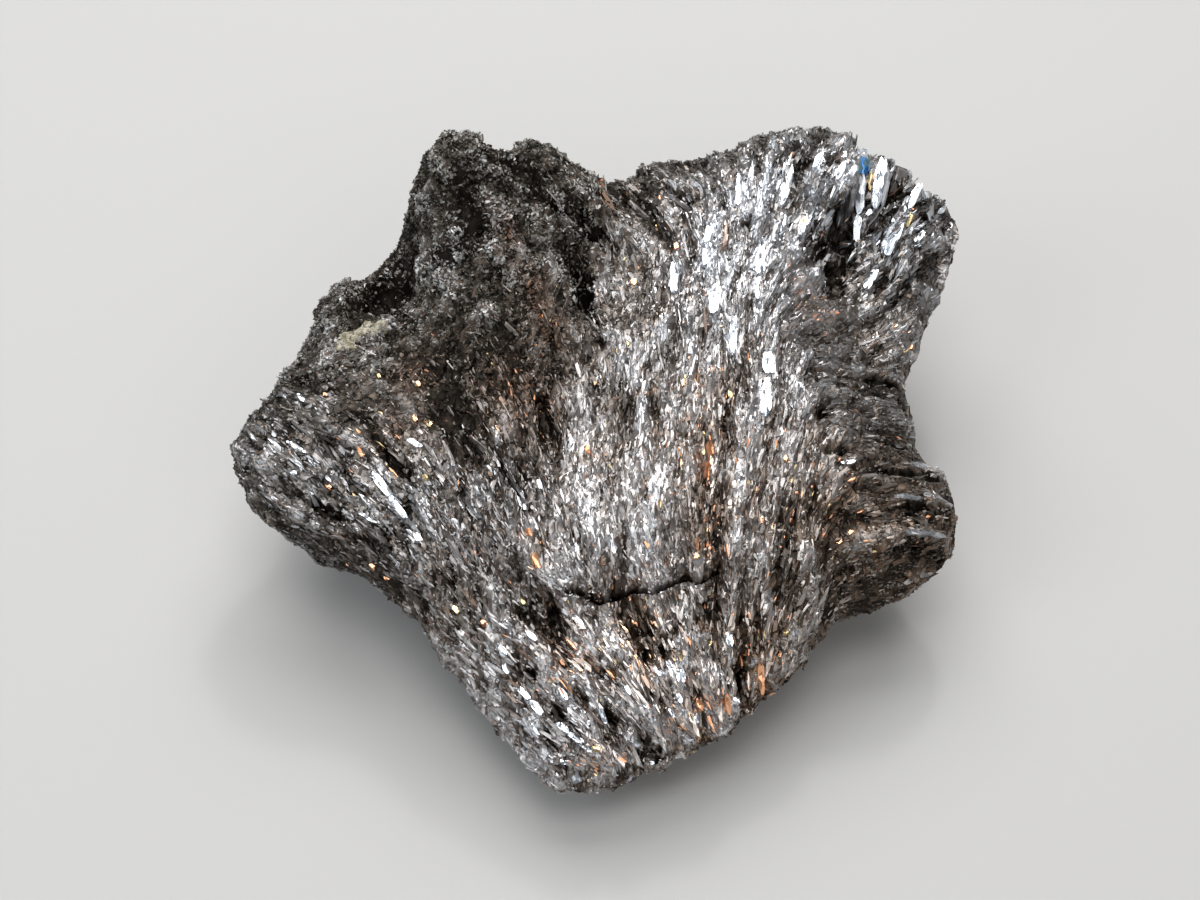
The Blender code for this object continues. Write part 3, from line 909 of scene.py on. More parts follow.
def joinRings(shape, rings):
    # skins the rings one after another and closes both ends
    for back, front in zip(rings, rings[1:]):
        for i in range(len(back)):
            j = (i + 1) % len(back)
            shape.faces.new((back[i], back[j], front[j], front[i]))
    shape.faces.new(rings[0][::-1])
    shape.faces.new(rings[-1])


def bladeShape(name, section, cuts, ends):
    # a bar from -0.5 to 0.5 along X, widest near its middle, whose ends are cut at a slant
    shape = bmesh.new()
    rings = []
    cutsAlong = ((-0.5, 1.0, ends[0], 0.0), (-0.08, 0.3, 1.0, 0.0), (0.5, -1.0, ends[1], 0.06))
    for start, slant, wide, aside in cutsAlong:
        rings.append([
            shape.verts.new((start + slant * cut, y * wide + aside, z * wide))
            for (y, z), cut in zip(section, cuts)
        ])
    joinRings(shape, rings)
    bmesh.ops.recalc_face_normals(shape, faces=shape.faces)
    return shapeObject(name, shape)


def grainShape(name, seed):
    # an angular grain: the hull of a few points scattered over a ball
    random = np.random.default_rng(seed)
    shape = bmesh.new()
    for way in random.standard_normal((7, 3)):
        way /= np.linalg.norm(way)
        shape.verts.new(way * random.uniform(0.42, 0.55))
    hull = bmesh.ops.convex_hull(shape, input=shape.verts)
    bmesh.ops.delete(shape, geom=hull["geom_interior"], context="VERTS")
    bmesh.ops.recalc_face_normals(shape, faces=shape.faces)
    return shapeObject(name, shape)


def shapeObject(name, shape):
    mesh = newMesh(name, shape)
    putAttributes(mesh, {"bladeRun": vertexArray(mesh)})
    return bpy.data.objects.new(name, mesh)


def shapeCollection(name, shapes):
    made = bpy.data.collections.new(name)
    for shape in shapes:
        made.objects.link(shape)
    return made


layerInputs = {
    "Surface": "Geometry", "Shapes": "Collection", "Finish": "Material", "Where": "String", "Seed": "Int",
}
layerInputs.update(dict.fromkeys((
    "Per Square Metre", "Shortest", "Longest", "Short Bias", "Narrowest", "Widest", "Flatness",
    "Lowest", "Highest", "Swing", "Pitch", "Roll", "Shared Roll",
), "Float"))


def layerTree():
    # scatters shapes over a surface, each laid along the surface's grain
    tree = bpy.data.node_groups.new("bladeLayer", "GeometryNodeTree")
    for name, kind in layerInputs.items():
        tree.interface.new_socket(name, in_out="INPUT", socket_type="NodeSocket" + kind)
    tree.interface.new_socket("Geometry", in_out="OUTPUT", socket_type="NodeSocketGeometry")
    given = addNode(tree, "NodeGroupInput").outputs
    result = addNode(tree, "NodeGroupOutput")

    def named(name, kind="FLOAT"):
        settings = {"data_type": kind}
        return addNode(tree, "GeometryNodeInputNamedAttribute", settings, {"Name": name}).outputs[0]

    def stored(points, name, value, kind="FLOAT"):
        settings = {"data_type": kind, "domain": "POINT"}
        inputs = {"Geometry": points, "Name": name, "Value": value}
        return addNode(tree, "GeometryNodeStoreNamedAttribute", settings, inputs).outputs[0]

    def times(first, second):
        return maths(tree, "MULTIPLY", first, second)

    def random(low, high, offset):
        inputs = {2: low, 3: high, "Seed": maths(tree, "ADD", given["Seed"], offset)}
        return addNode(tree, "FunctionNodeRandomValue", {"data_type": "FLOAT"}, inputs).outputs[1]

    def between(low, high, share):
        return maths(tree, "MULTIPLY_ADD", maths(tree, "SUBTRACT", high, low), share, low)

    def spread(limit, offset):
        return times(limit, maths(tree, "ADD", random(-0.5, 0.5, offset), random(-0.5, 0.5, offset + 50)))

    # the places, each raised a little or sunk into the surface
    points = addNode(tree, "GeometryNodeDistributePointsOnFaces", {"distribute_method": "RANDOM"}, {
        "Mesh": given["Surface"],
        "Density": times(given["Per Square Metre"], named(given["Where"])),
        "Seed": given["Seed"],
    }).outputs["Points"]
    lie = named("lie", "FLOAT_VECTOR")
    rise = between(given["Lowest"], given["Highest"], random(0.0, 1.0, 1))
    points = addNode(tree, "GeometryNodeSetPosition", inputs={
        "Geometry": points, "Offset": scaledVector(tree, lie, rise)}).outputs[0]
    points = stored(points, "tone", random(0.0, 1.0, 2))
    points = stored(points, "tint", random(0.0, 1.0, 3))

    # the sizes, held to the room there is
    longShare = maths(tree, "POWER", random(0.0, 1.0, 4), given["Short Bias"])
    length = between(given["Shortest"], given["Longest"], longShare)
    length = maths(tree, "MINIMUM", length, maths(tree, "MULTIPLY_ADD", named("room"), 1.8, -0.3 * mm))
    length = times(maths(tree, "MAXIMUM", length, 0.2 * mm), named("coarse"))
    width = between(given["Narrowest"], given["Widest"], maths(tree, "POWER", random(0.0, 1.0, 5), 1.8))
    width = times(width, named("coarse"))
    thickness = times(width, times(given["Flatness"], random(0.7, 1.3, 6)))
    size = addNode(tree, "ShaderNodeCombineXYZ", inputs={0: length, 1: width, 2: thickness}).outputs[0]
    points = stored(points, "bladeSize", size, "FLOAT_VECTOR")

    # the turns: along the grain, then each a little off it
    sharedRoll = times(maths(tree, "SUBTRACT", named("bundle"), 0.5), given["Shared Roll"])
    turn = addNode(tree, "ShaderNodeCombineXYZ", inputs={
        0: maths(tree, "ADD", sharedRoll, times(spread(given["Roll"], 7), named("loose"))),
        1: times(spread(given["Pitch"], 8), named("loose")),
        2: spread(given["Swing"], 9),
    }).outputs[0]
    turn = addNode(tree, "FunctionNodeEulerToRotation", inputs={0: turn}).outputs[0]
    grain = named("grain", "FLOAT_VECTOR")
    axes = {"primary_axis": "Z", "secondary_axis": "X"}
    laid = addNode(tree, "FunctionNodeAxesToRotation", axes, {0: lie, 1: grain}).outputs[0]
    turned = addNode(tree, "FunctionNodeRotateRotation", {"rotation_space": "LOCAL"}, {0: laid, 1: turn})

    shapes = addNode(tree, "GeometryNodeCollectionInfo", inputs={
        "Collection": given["Shapes"], "Separate Children": True, "Reset Children": True}).outputs[0]
    placed = addNode(tree, "GeometryNodeInstanceOnPoints", inputs={
        "Points": points, "Instance": shapes, "Pick Instance": True,
        "Rotation": turned.outputs[0], "Scale": size,
    }).outputs[0]
    joined = addNode(tree, "GeometryNodeRealizeInstances", inputs={"Geometry": placed}).outputs[0]
    finished = addNode(tree, "GeometryNodeSetMaterial", inputs={
        "Geometry": joined, "Material": given["Finish"]}).outputs[0]
    tree.links.new(finished, result.inputs[0])
    return tree


# what the mass carries for growing the layers, and the layers have no use for
growthOnly = ("lie", "grain", "comb", "crust", "hollowShade", "fibre", "crumb", "room", "coarse", "lustre", "low")


def scatter(name, mass, tree, finish, shapes, settings):
    carrier = newObject(name + "Carrier", mass.data)
    layer = carrier.modifiers.new("blades", "NODES")
    layer.node_group = tree
    values = {"Shapes": shapes, "Finish": finish, **settings}
    for item in tree.interface.items_tree:
        if item.in_out == "INPUT" and item.name in values:
            layer[item.identifier] = values[item.name]
    mesh = evaluatedMesh(carrier, name)
    bpy.data.objects.remove(carrier)
    for spare in [name for name in mesh.attributes.keys() if name in growthOnly]:
        mesh.attributes.remove(mesh.attributes[spare])
    print(name + ":", sum(len(p.vertices) - 2 for p in mesh.polygons), "triangles")
    return newObject(name, mesh)


def layerSizes(where, perSquare, seed, length, width, rise, bias=2.0, flatness=0.5, swing=12, pitch=12,
               roll=60, shared=30):
    return {
        "Where": where, "Per Square Metre": perSquare / mm**2, "Seed": seed,
        "Shortest": length[0] * mm, "Longest": length[1] * mm, "Short Bias": bias,
        "Narrowest": width[0] * mm, "Widest": width[1] * mm, "Flatness": flatness,
        "Lowest": rise[0] * mm, "Highest": rise[1] * mm, "Swing": radians(swing),
        "Pitch": radians(pitch), "Roll": radians(roll), "Shared Roll": radians(shared),
    }


# Each layer: where it grows, how many to a square mm, its seed, and its lengths, widths and heights.
bladeLayers = {
    "smallBlades": layerSizes(
        "fibre", 2.0, 5, (0.5, 2.0), (0.18, 0.42), (-0.14, 0.02), pitch=8, roll=36),
    "smallBladesUpper": layerSizes(
        "fibre", 1.6, 17, (0.5, 2.3), (0.18, 0.46), (-0.12, 0.05), pitch=10, roll=44),
    "broadBlades": layerSizes(
        "fibre", 0.60, 29, (0.8, 2.6), (0.30, 0.56), (-0.24, -0.02), bias=2.4, pitch=6, roll=24),
    "longBlades": layerSizes(
        "lustre", 0.30, 37, (1.6, 4.2), (0.30, 0.60), (-0.16, 0.03), bias=1.6,
        swing=6, pitch=3, roll=16, shared=24),
}

grainLayers = {
    "bladeGrains": layerSizes(
        "fibre", 2.4, 61, (0.35, 1.5), (0.18, 0.42), (-0.12, 0.06), flatness=0.75, pitch=10, roll=70),
    "bladeGrainsUpper": layerSizes(
        "fibre", 2.4, 67, (0.35, 1.5), (0.18, 0.42), (-0.10, 0.08), flatness=0.75, pitch=10, roll=70),
}

crustLayers = {
    "crustGrains": layerSizes(
        "crumb", 10.5, 41, (0.35, 1.0), (0.3, 0.75), (-0.20, 0.06), flatness=0.7,
        swing=180, pitch=40, roll=180),
    "undersideGrains": layerSizes(
        "low", 5.5, 53, (0.4, 1.2), (0.3, 0.8), (-0.16, 0.04), flatness=0.6,
        swing=60, pitch=24, roll=90),
    "crustSpecks": layerSizes(
        "crumb", 10.5, 43, (0.25, 0.6), (0.22, 0.48), (-0.08, 0.08), flatness=0.8,
        swing=180, pitch=60, roll=180),
}


# Blades that stand out from the rest: the plan places of both ends, width, how far it stands
# proud, how bright it is (0 to 1, a painted highlight that lightens its colour) and any
# tarnish. All lie level across, so that they catch the light.
standoutBlades = {
    "white blade": ((12.9, 3.3), (12.8, 1.0), 1.15, 0.30, 1.0),
    "white blade, low": ((12.7, 0.8), (12.3, -2.4), 1.25, 0.30, 1.0),
    "fan, left": ((8.6, 15.1), (8.1, 10.8), 1.15, 0.30, 1.0),
    "fan, left, low": ((8.8, 8.8), (8.5, 6.4), 1.05, 0.25, 1.0),
    "fan, column": ((12.8, 13.6), (12.3, 9.6), 1.2, 0.28, 1.0),
    "fan, column's foot": ((12.3, 9.4), (12.1, 7.4), 0.85, 0.22, 0.95),
    "fan, tall": ((15.1, 20.2), (14.4, 16.6), 1.1, 0.28, 1.0),
    "fan, tall, low": ((14.5, 16.2), (14.2, 14.2), 0.9, 0.22, 0.95),
    "crest, short": ((17.7, 20.7), (17.2, 19.1), 0.8, 0.28, 0.95),
    "fan, right": ((16.4, 16.6), (15.9, 14.6), 0.8, 0.25, 0.9),
    "fan, upper": ((11.0, 19.5), (10.8, 16.4), 0.7, 0.22, 0.85),
    "fan, far left": ((5.6, 12.4), (5.5, 9.6), 0.75, 0.20, 0.85),
    "fan, low": ((10.2, 6.2), (10.0, 3.2), 0.7, 0.20, 0.85),
    "tip, ridge": ((-7.7, -19.8), (-7.4, -20.5), 0.56, 0.34, 1.0),
    "tip, ridge, second": ((-6.6, -21.4), (-5.8, -22.3), 0.62, 0.36, 1.0),
    "tip, ridge, third": ((-5.7, -22.4), (-4.8, -23.4), 0.69, 0.38, 1.0),
    "tip, ridge, fourth": ((-3.7, -24.0), (-2.9, -24.6), 0.65, 0.36, 1.0),
    "tip, ridge, fifth": ((-2.8, -24.6), (-1.9, -25.2), 0.69, 0.38, 1.0),
    "tip, ridge, end": ((-1.9, -25.2), (-1.1, -25.8), 0.62, 0.36, 1.0),
    "tip, gold": ((-0.9, -25.7), (-0.4, -25.9), 0.5, 0.34, 0.9, "gold"),
    "tip, under the ridge": ((-5.8, -23.6), (-5.1, -24.4), 0.5, 0.32, 0.95),
    "tip, under the ridge, low": ((-3.6, -25.7), (-3.1, -26.3), 0.47, 0.32, 0.95),
    "tip, near the nose": ((-2.5, -26.7), (-2.0, -27.0), 0.45, 0.3, 0.95),
    "tip, by the ridge": ((-3.5, -22.1), (-2.9, -22.9), 0.45, 0.3, 0.9),
    "tip, middle": ((-0.6, -23.3), (-0.1, -24.0), 0.47, 0.3, 0.95),
    "tip, flat": ((1.5, -22.0), (1.8, -22.7), 0.62, 0.34, 1.0),
    "tip, flat, right": ((2.5, -23.2), (3.0, -23.5), 0.47, 0.3, 0.95),
    "tip, beside the wide one": ((3.7, -20.3), (4.1, -20.9), 0.56, 0.32, 0.95),
    "tip, first of the cluster": ((4.8, -22.7), (5.2, -23.2), 0.67, 0.34, 1.0),
    "tip, second of the cluster": ((5.7, -22.9), (6.3, -23.3), 0.69, 0.36, 1.0),
    "tip, third of the cluster": ((6.5, -22.4), (6.8, -23.0), 0.56, 0.34, 0.95),
    "tip, fourth of the cluster": ((5.3, -22.1), (5.6, -22.6), 0.5, 0.32, 0.95),
    "tip, lower rim": ((5.7, -23.9), (6.5, -23.9), 0.73, 0.38, 1.0),
    "tip, lower rim, left": ((1.6, -24.8), (2.6, -24.8), 0.67, 0.36, 1.0),
    "tip, under the rim": ((2.9, -25.4), (3.6, -25.4), 0.5, 0.32, 0.95),
    "tip, nose": ((1.7, -26.3), (1.9, -26.6), 0.4, 0.3, 0.95),
    "tip, far right": ((9.3, -21.5), (10.0, -21.6), 0.56, 0.34, 0.95),
    "tip, copper": ((6.9, -21.5), (7.2, -22.2), 0.56, 0.34, 0.9, "copper"),
    "tip, copper, low": ((8.9, -21.6), (9.2, -22.2), 0.56, 0.34, 0.9, "copper"),
    "tip, upper left": ((-6.0, -18.0), (-5.3, -18.5), 0.62, 0.32, 0.95),
    "tip, wide": ((4.7, -19.9), (5.7, -21.3), 1.12, 0.4, 1.0),
    "tip, on the step": ((9.2, -17.6), (9.4, -18.7), 0.62, 0.3, 0.95),
    "tip, edge": ((-8.0, -18.9), (-7.4, -19.6), 0.5, 0.3, 0.95),
    "tip, copper streak": ((11.7, -18.9), (12.1, -20.3), 0.62, 0.3, 0.9, "copper"),
    "left, outer": ((-25.1, -2.1), (-23.6, -3.3), 0.5, 0.18, 0.9),
    "left, outer, low": ((-23.4, -3.5), (-21.6, -4.9), 0.55, 0.20, 0.95),
    "left, middle": ((-18.3, -4.3), (-16.9, -6.3), 0.8, 0.22, 1.0),
    "left, middle, low": ((-16.9, -6.4), (-15.4, -8.6), 0.65, 0.20, 0.95),
    "left, drop": ((-14.7, -10.0), (-14.2, -10.8), 0.6, 0.20, 1.0),
    "left, upper": ((-15.6, -2.1), (-14.4, -2.8), 0.5, 0.16, 0.85),
    "left, low": ((-19.3, -7.8), (-17.8, -8.8), 0.5, 0.16, 0.85),
    "left, top": ((-24.5, 1.7), (-23.9, 0.9), 0.40, 0.14, 0.75),
    "left, gold": ((-14.2, -5.3), (-14.0, -6.0), 0.34, 0.14, 0.7, "gold"),
    "left, copper": ((-19.6, -2.3), (-19.3, -2.8), 0.40, 0.14, 0.7, "copper"),
    "steep run": ((-11.5, -7.2), (-10.9, -8.7), 0.4, 0.18, 0.9),
    "steep run, middle": ((-6.9, -7.9), (-6.2, -9.2), 0.45, 0.20, 1.0),
    "steep run, short": ((-5.2, -6.8), (-5.0, -7.6), 0.40, 0.16, 0.9),
    "middle, low": ((0.4, -11.8), (0.6, -13.1), 0.40, 0.14, 0.85),
    "middle, low, left": ((-2.3, -12.4), (-2.1, -13.4), 0.40, 0.14, 0.8),
    "big copper glint": ((-5.5, -12.9), (-5.1, -13.8), 0.62, 0.22, 0.8, "copper"),
    "copper glint above it": ((-5.9, -11.0), (-5.7, -11.5), 0.42, 0.15, 0.7, "copper"),
    "copper glint in the middle": ((-1.5, -3.7), (-1.3, -4.5), 0.40, 0.15, 0.7, "copper"),
    "copper trail, top": ((8.1, -4.2), (8.2, -5.6), 0.40, 0.15, 0.5, "copper"),
    "copper trail, middle": ((8.0, -6.0), (7.8, -7.5), 0.40, 0.15, 0.5, "copper"),
    "copper trail, low": ((6.8, -12.7), (6.9, -13.3), 0.34, 0.15, 0.6, "copper"),
    "copper trail, end": ((6.9, -13.6), (7.0, -14.1), 0.34, 0.15, 0.7, "gold"),
    "lobe, upper rib": ((25.0, -5.7), (27.6, -4.9), 0.95, 0.20, 0.5),
    "lobe, foot of the upper rib": ((22.4, -6.8), (24.6, -6.3), 0.50, 0.18, 0.60),
    "lobe, long rib": ((23.2, -9.4), (26.6, -8.4), 0.55, 0.24, 0.6),
    "lobe, top rib": ((24.2, -3.4), (26.6, -2.7), 0.60, 0.18, 0.62),
    "lobe, low rib": ((23.4, -11.4), (26.2, -10.6), 0.50, 0.18, 0.45),
    "lobe, white glint": ((18.2, -5.4), (19.3, -5.2), 0.42, 0.18, 0.9),
    "saddle, left": ((4.1, 20.0), (5.5, 17.2), 0.50, 0.20, 0.40),
    "saddle, middle": ((5.2, 20.1), (7.0, 17.3), 0.50, 0.20, 0.45),
    "saddle, far": ((2.1, 20.8), (3.7, 18.6), 0.45, 0.20, 0.38),
}

# The blades that stand up at the corner: as above, with how much higher the outer end is.
cornerBlades = {
    "tall": ((23.3, 22.7), (22.5, 18.9), 1.15, 0.55, 1.10, 0.95),
    "beside the tall one": ((23.8, 22.4), (23.0, 19.2), 0.50, 0.40, 0.70, 0.60),
    "behind the tall one": ((24.9, 23.2), (24.2, 21.6), 0.60, 0.30, 0.60, 0.40),
    "blue": ((21.7, 22.9), (21.4, 21.5), 1.6, 0.45, 0.20, 0.80, "blue"),
    "cap over the blue": ((21.8, 24.2), (21.6, 23.1), 0.9, 0.35, 0.20, 0.85),
    "long grey": ((21.5, 21.4), (21.3, 18.9), 0.9, 0.45, 0.20, 0.8),
    "long grey, low": ((21.2, 18.8), (21.0, 16.9), 0.75, 0.40, 0.0, 0.88),
    "gold": ((22.3, 21.8), (22.2, 20.3), 0.36, 0.35, 0.20, 0.70, "gold"),
    "left of the blue": ((20.3, 20.8), (19.6, 18.3), 0.55, 0.35, 0.20, 0.62),
    "far left": ((19.9, 20.8), (19.2, 19.2), 0.60, 0.32, 0.10, 0.75),
    "white spot": ((19.9, 22.2), (19.7, 21.4), 0.50, 0.25, 0.0, 0.95),
    "in the pocket": ((20.7, 20.0), (20.2, 18.5), 0.40, 0.20, 0.0, 0.45),
    "small": ((22.2, 18.9), (21.8, 18.3), 0.50, 0.30, 0.0, 0.92),
    "thin": ((24.3, 20.3), (23.7, 18.8), 0.34, 0.30, 0.10, 0.60),
    "wedge": ((26.6, 21.9), (25.6, 19.5), 0.8, 0.35, 0.50, 0.88),
    "across the wedge": ((26.5, 21.5), (27.3, 19.8), 0.42, 0.40, 0.30, 0.85),
    "flat beside the wedge": ((27.1, 21.9), (27.4, 19.6), 0.85, 0.28, 0.40, 0.52),
    "outer end": ((29.0, 21.9), (28.2, 21.5), 0.55, 0.30, 0.30, 0.95),
    "between": ((25.6, 20.9), (25.2, 19.8), 0.55, 0.28, 0.10, 0.65),
    "bright": ((24.7, 17.7), (23.5, 15.9), 1.05, 0.42, 0.15, 1.0),
    "beside the bright one": ((24.0, 18.0), (23.2, 16.7), 0.45, 0.32, 0.10, 0.78),
    "slanted": ((27.5, 17.8), (25.8, 16.3), 0.60, 0.32, 0.10, 1.0),
    "drop": ((26.6, 17.4), (26.1, 16.5), 0.50, 0.28, 0.0, 0.95),
    "thread": ((26.6, 18.0), (25.0, 17.0), 0.34, 0.32, 0.0, 0.75),
    "dot": ((22.9, 17.4), (22.7, 16.9), 0.50, 0.25, 0.0, 0.95),
    "grey": ((22.3, 17.4), (22.4, 15.7), 0.50, 0.28, 0.0, 0.50),
    "edge": ((29.6, 20.9), (29.4, 20.2), 0.38, 0.20, 0.0, 0.95),
    "at the pocket": ((19.7, 17.3), (20.6, 17.1), 0.42, 0.28, 0.0, 0.9),
    "gold, low": ((25.6, 18.5), (25.3, 17.6), 0.42, 0.28, 0.0, 0.7, "gold"),
    "bright, low": ((22.6, 14.9), (21.7, 13.2), 0.95, 0.30, 0.0, 0.95),
}

# Small glints, short bars whose colour is painted bright as highlights: x, y, size and any tarnish.
glints = {
    "left, top": (-22.3, 1.5, 0.34, "copper"),
    "left, pale": (-24.4, -5.0, 0.45),
    "left, outer": (-21.8, -5.2, 0.40, "copper"),
    "left rim": (-18.1, -11.5, 0.38, "copper"),
    "left rim, second": (-17.0, -12.2, 0.34, "copper"),
    "left edge": (-11.4, -16.0, 0.45, "gold"),
    "left, gold": (-14.1, -5.5, 0.42, "gold"),
    "left, middle": (-19.3, -2.7, 0.38, "copper"),
    "apron": (-15.1, -0.4, 0.45, "copper"),
    "apron, second": (-14.0, -0.7, 0.50, "gold"),
    "apron, upper": (-14.9, 2.2, 0.36, "copper"),
    "foot of the shoulder": (-18.1, 3.1, 0.28, "gold"),
    "fan": (5.8, 14.4, 0.45, "copper"),
    "fan, brown": (2.3, 12.7, 0.50, "copper"),
    "fan, low": (6.1, 1.0, 0.45, "copper"),
    "saddle": (4.6, 19.7, 0.38, "copper"),
    "recess": (24.0, 10.3, 0.42, "copper"),
    "recess, edge": (25.5, 9.8, 0.34, "copper"),
    "lobe": (18.0, -10.4, 0.42, "copper"),
    "lobe, second": (18.9, -9.8, 0.38, "copper"),
    "foot of the spine": (13.8, -5.7, 0.36, "copper"),
    "past the spine": (11.8, -10.4, 0.42, "copper"),
    "past the spine, low": (13.8, -16.9, 0.40, "gold"),
    "trail": (8.1, -6.3, 0.40, "copper"),
    "trail, low": (6.8, -14.0, 0.40, "copper"),
    "step": (7.8, -18.7, 0.36, "gold"),
    "left of the step": (-9.2, -17.2, 0.40, "copper"),
    "left of the step, second": (-6.3, -15.5, 0.36, "gold"),
}
standoutShape = {
    "seed": 71,
    # each ring's place along the bar and its width, then the corners of its section, of which
    # the ones at -1 are down in the mass
    "rings": [(0.0, 0.45), (0.12, 0.8), (0.35, 1.0), (0.62, 0.92), (0.86, 0.78), (1.0, 0.4)],
    "section": [(-0.5, -1.0), (0.5, -1.0), (0.44, 0.38), (0.10, 0.46), (-0.42, 0.42)],
    "thickness": 0.6,  # against the width
    "root": 0.3,  # how deep the bars' feet go, in mm
    "roll": 60,  # how far the dullest ones are rolled over
    "evening": 0.75,  # how much of a bright one's slope is taken out, so that it catches the light
    "slant": 0.22,  # how far a corner strays along the bar, against its width
    "glintLength": 1.3,  # against its size
    "glintProud": 0.18,
    "glintBright": 0.95,
}


def onSurface(surface, x, y):
    # the top of the lump over a place on the plan, which is drawn in until the lump is under it
    hit = None
    while hit is None:
        hit = surface.ray_cast(Vector((x, y, 60)) * mm, Vector((0, 0, -1)))[0]
        x, y = 0.99 * x, 0.99 * y
    return hit / mm


def standoutBars(mass, finish):
    # each bar follows the surface between its ends and is rooted in it
    s = standoutShape
    surface = BVHTree.FromObject(mass, bpy.context.evaluated_depsgraph_get())
    random = np.random.default_rng(s["seed"])
    bars = bmesh.new()
    runs, sizes, paintedHighlights, tarnishes = [], [], [], []
    blades = [(*blade[:4], 0.0, *blade[4:]) for blade in standoutBlades.values()]
    for x, y, size, *tarnish in glints.values():
        half = (Vector((x, y)) - Vector(fanRoot)).normalized() * (s["glintLength"] / 2) * size
        ends = (x + half.x, y + half.y), (x - half.x, y - half.y)
        blades.append((*ends, size, s["glintProud"], 0.0, s["glintBright"], *tarnish))
    blades += cornerBlades.values()
    for outer, inner, width, proud, lift, bright, *tarnish in blades:
        ends = [onSurface(surface, *end) for end in (outer, inner)]
        ends[0].z += lift
        evened = s["evening"] * min(1, 1.3 / (ends[1] - ends[0]).length) if bright >= 0.9 else 0
        step = (ends[1].z - ends[0].z) * evened / 2
        ends[0].z += step
        ends[1].z -= step
        run = ends[1] - ends[0]
        roll = radians(s["roll"]) * (1 - bright) * float(random.choice((-1, 1)))
        aside = Quaternion(run, roll) @ Vector((0, 0, 1)).cross(run).normalized()
        up = run.cross(aside).normalized()
        rings = []
        for share, wide in s["rings"]:
            spot = ends[0] + run * share
            spot = spot.lerp(onSurface(surface, spot.x, spot.y), 0.0 if lift else 0.6 * (1 - evened))
            spot += up * (proud - 0.3 * width) + aside * float(random.uniform(-0.06, 0.06)) * width
            root = proud + s["root"] + lift * (1 - share) + abs(step)
            ring = []
            for across, rise in s["section"]:
                slant = run.normalized() * float(random.uniform(-s["slant"], s["slant"])) * width
                wide *= float(random.uniform(0.95, 1.05))
                depth = root if rise < 0 else width * s["thickness"]
                corner = spot + slant + aside * across * width * wide + up * rise * depth
                ring.append(bars.verts.new(corner * mm))
                runs.append((share - 0.5, across * wide, rise))
                sizes.append((run.length * mm, width * mm, depth * mm))
                paintedHighlights.append(bright)
                tarnishes.append("".join(tarnish))
            rings.append(ring)
        joinRings(bars, rings)
    bmesh.ops.recalc_face_normals(bars, faces=bars.faces)
    mesh = newMesh("standoutBlades", bars)
    paintedHighlights, tarnishes = np.array(paintedHighlights), np.array(tarnishes)
    putAttributes(mesh, {
        "bladeRun": runs,
        "bladeSize": sizes,
        # painted highlight: a bright bar's tone, shine and bundle lighten its colour towards white
        "tone": paintedHighlights,
        "tint": np.where(tarnishes == "blue", 1.5, np.where(tarnishes == "gold", 0.9, 0.5)),
        "shineAndPaintedLight": paintedHighlights,
        "loose": np.ones(len(paintedHighlights)),
        "bundle": 0.3 + 0.7 * paintedHighlights,
        "warm": np.where((tarnishes == "gold") | (tarnishes == "copper"), 12.0, 0.0),
        "rust": np.clip(0.9 - 1.4 * paintedHighlights, 0, 1),
    })
    mesh.materials.append(finish)
    print("standout blades:", len(blades))
    return newObject("standoutBlades", mesh)


clay = {
    "path": [(-21.0, 5.7), (-20.3, 5.9), (-19.5, 6.4), (-18.8, 6.8), (-18.0, 7.0)],
    "reach": 0.70,  # half its width, in mm
    "thickness": 0.24,
    "foot": 0.25,  # how far it goes into the mass
    "cell": 0.10,
    "colour": (0.54, 0.50, 0.40),
    "stain": (0.24, 0.21, 0.14),
    "specks": 2200.0,  # to a metre
    "speckDepth": 0.06,  # mm
}


def clayMaterial():
    material, tree, surface = surfaceShader("paleClay")
    specks = noiseTexture(tree, objectPlace(tree), clay["specks"], 4.0)
    colour = colourRamp(tree, specks, (0.42, 0.62), (clay["stain"], clay["colour"]))
    wireSurface(tree, surface, colour, weighted(tree, 0.82, (specks, 0.1)), 0.0, {
        "Strength": 0.5, "Distance": clay["speckDepth"] * mm, "Height": specks,
    })
    return material


def claySpeck(mass):
    # a smear pressed onto the crust: a patch of small squares whose edge runs out to nothing
    surface = BVHTree.FromObject(mass, bpy.context.evaluated_depsgraph_get())
    smear = bmesh.new()
    path = np.array(clay["path"])
    low, high = path.min(0) - 2 * clay["reach"], path.max(0) + 2 * clay["reach"]
    columns, rows = ((high - low) / clay["cell"]).astype(int)
    corners = {}
    for column, row in np.ndindex(columns, rows):
        x, y = low + np.array((column, row)) * clay["cell"]
        ragged = Vector((x, y, 3.0))
        away = pathDistance(np.array([x]), np.array([y]), clay["path"])[0] / clay["reach"]
        fill = 1.0 - away + 1.2 * noise.noise(ragged * 1.2) + 0.6 * noise.noise(ragged * 3.1)
        if fill <= 0:
            continue
        hit = onSurface(surface, x, y) * mm
        lumps = 0.6 + 0.8 * noise.noise(ragged * 2.3) + 0.5 * noise.noise(ragged * 6.0)
        rise = clay["thickness"] * min(fill * 2.2, 1.0) * max(lumps, 0.1)
        top = smear.verts.new(hit + Vector((0, 0, rise * mm)))
        foot = smear.verts.new(hit - Vector((0, 0, clay["foot"] * mm)))
        corners[column, row] = (top, foot)
    for column, row in corners:
        square = [corners.get((column + i, row + j)) for i, j in ((0, 0), (1, 0), (1, 1), (0, 1))]
        if None not in square:
            smear.faces.new([top for top, foot in square])
            smear.faces.new([foot for top, foot in reversed(square)])
    feet = dict(corners.values())
    for first, second in [edge.verts[:] for edge in smear.edges if edge.is_boundary]:
        if first in feet and second in feet:
            smear.faces.new((first, second, feet[second], feet[first]))
    loose = [vert for vert in smear.verts if not vert.link_faces]
    bmesh.ops.delete(smear, geom=loose, context="VERTS")
    bmesh.ops.recalc_face_normals(smear, faces=smear.faces)
    mesh = newMesh("claySpeck", smear)
    mesh.materials.append(clayMaterial())
    print("clay speck:", len(mesh.polygons), "faces")
    return newObject("claySpeck", mesh)


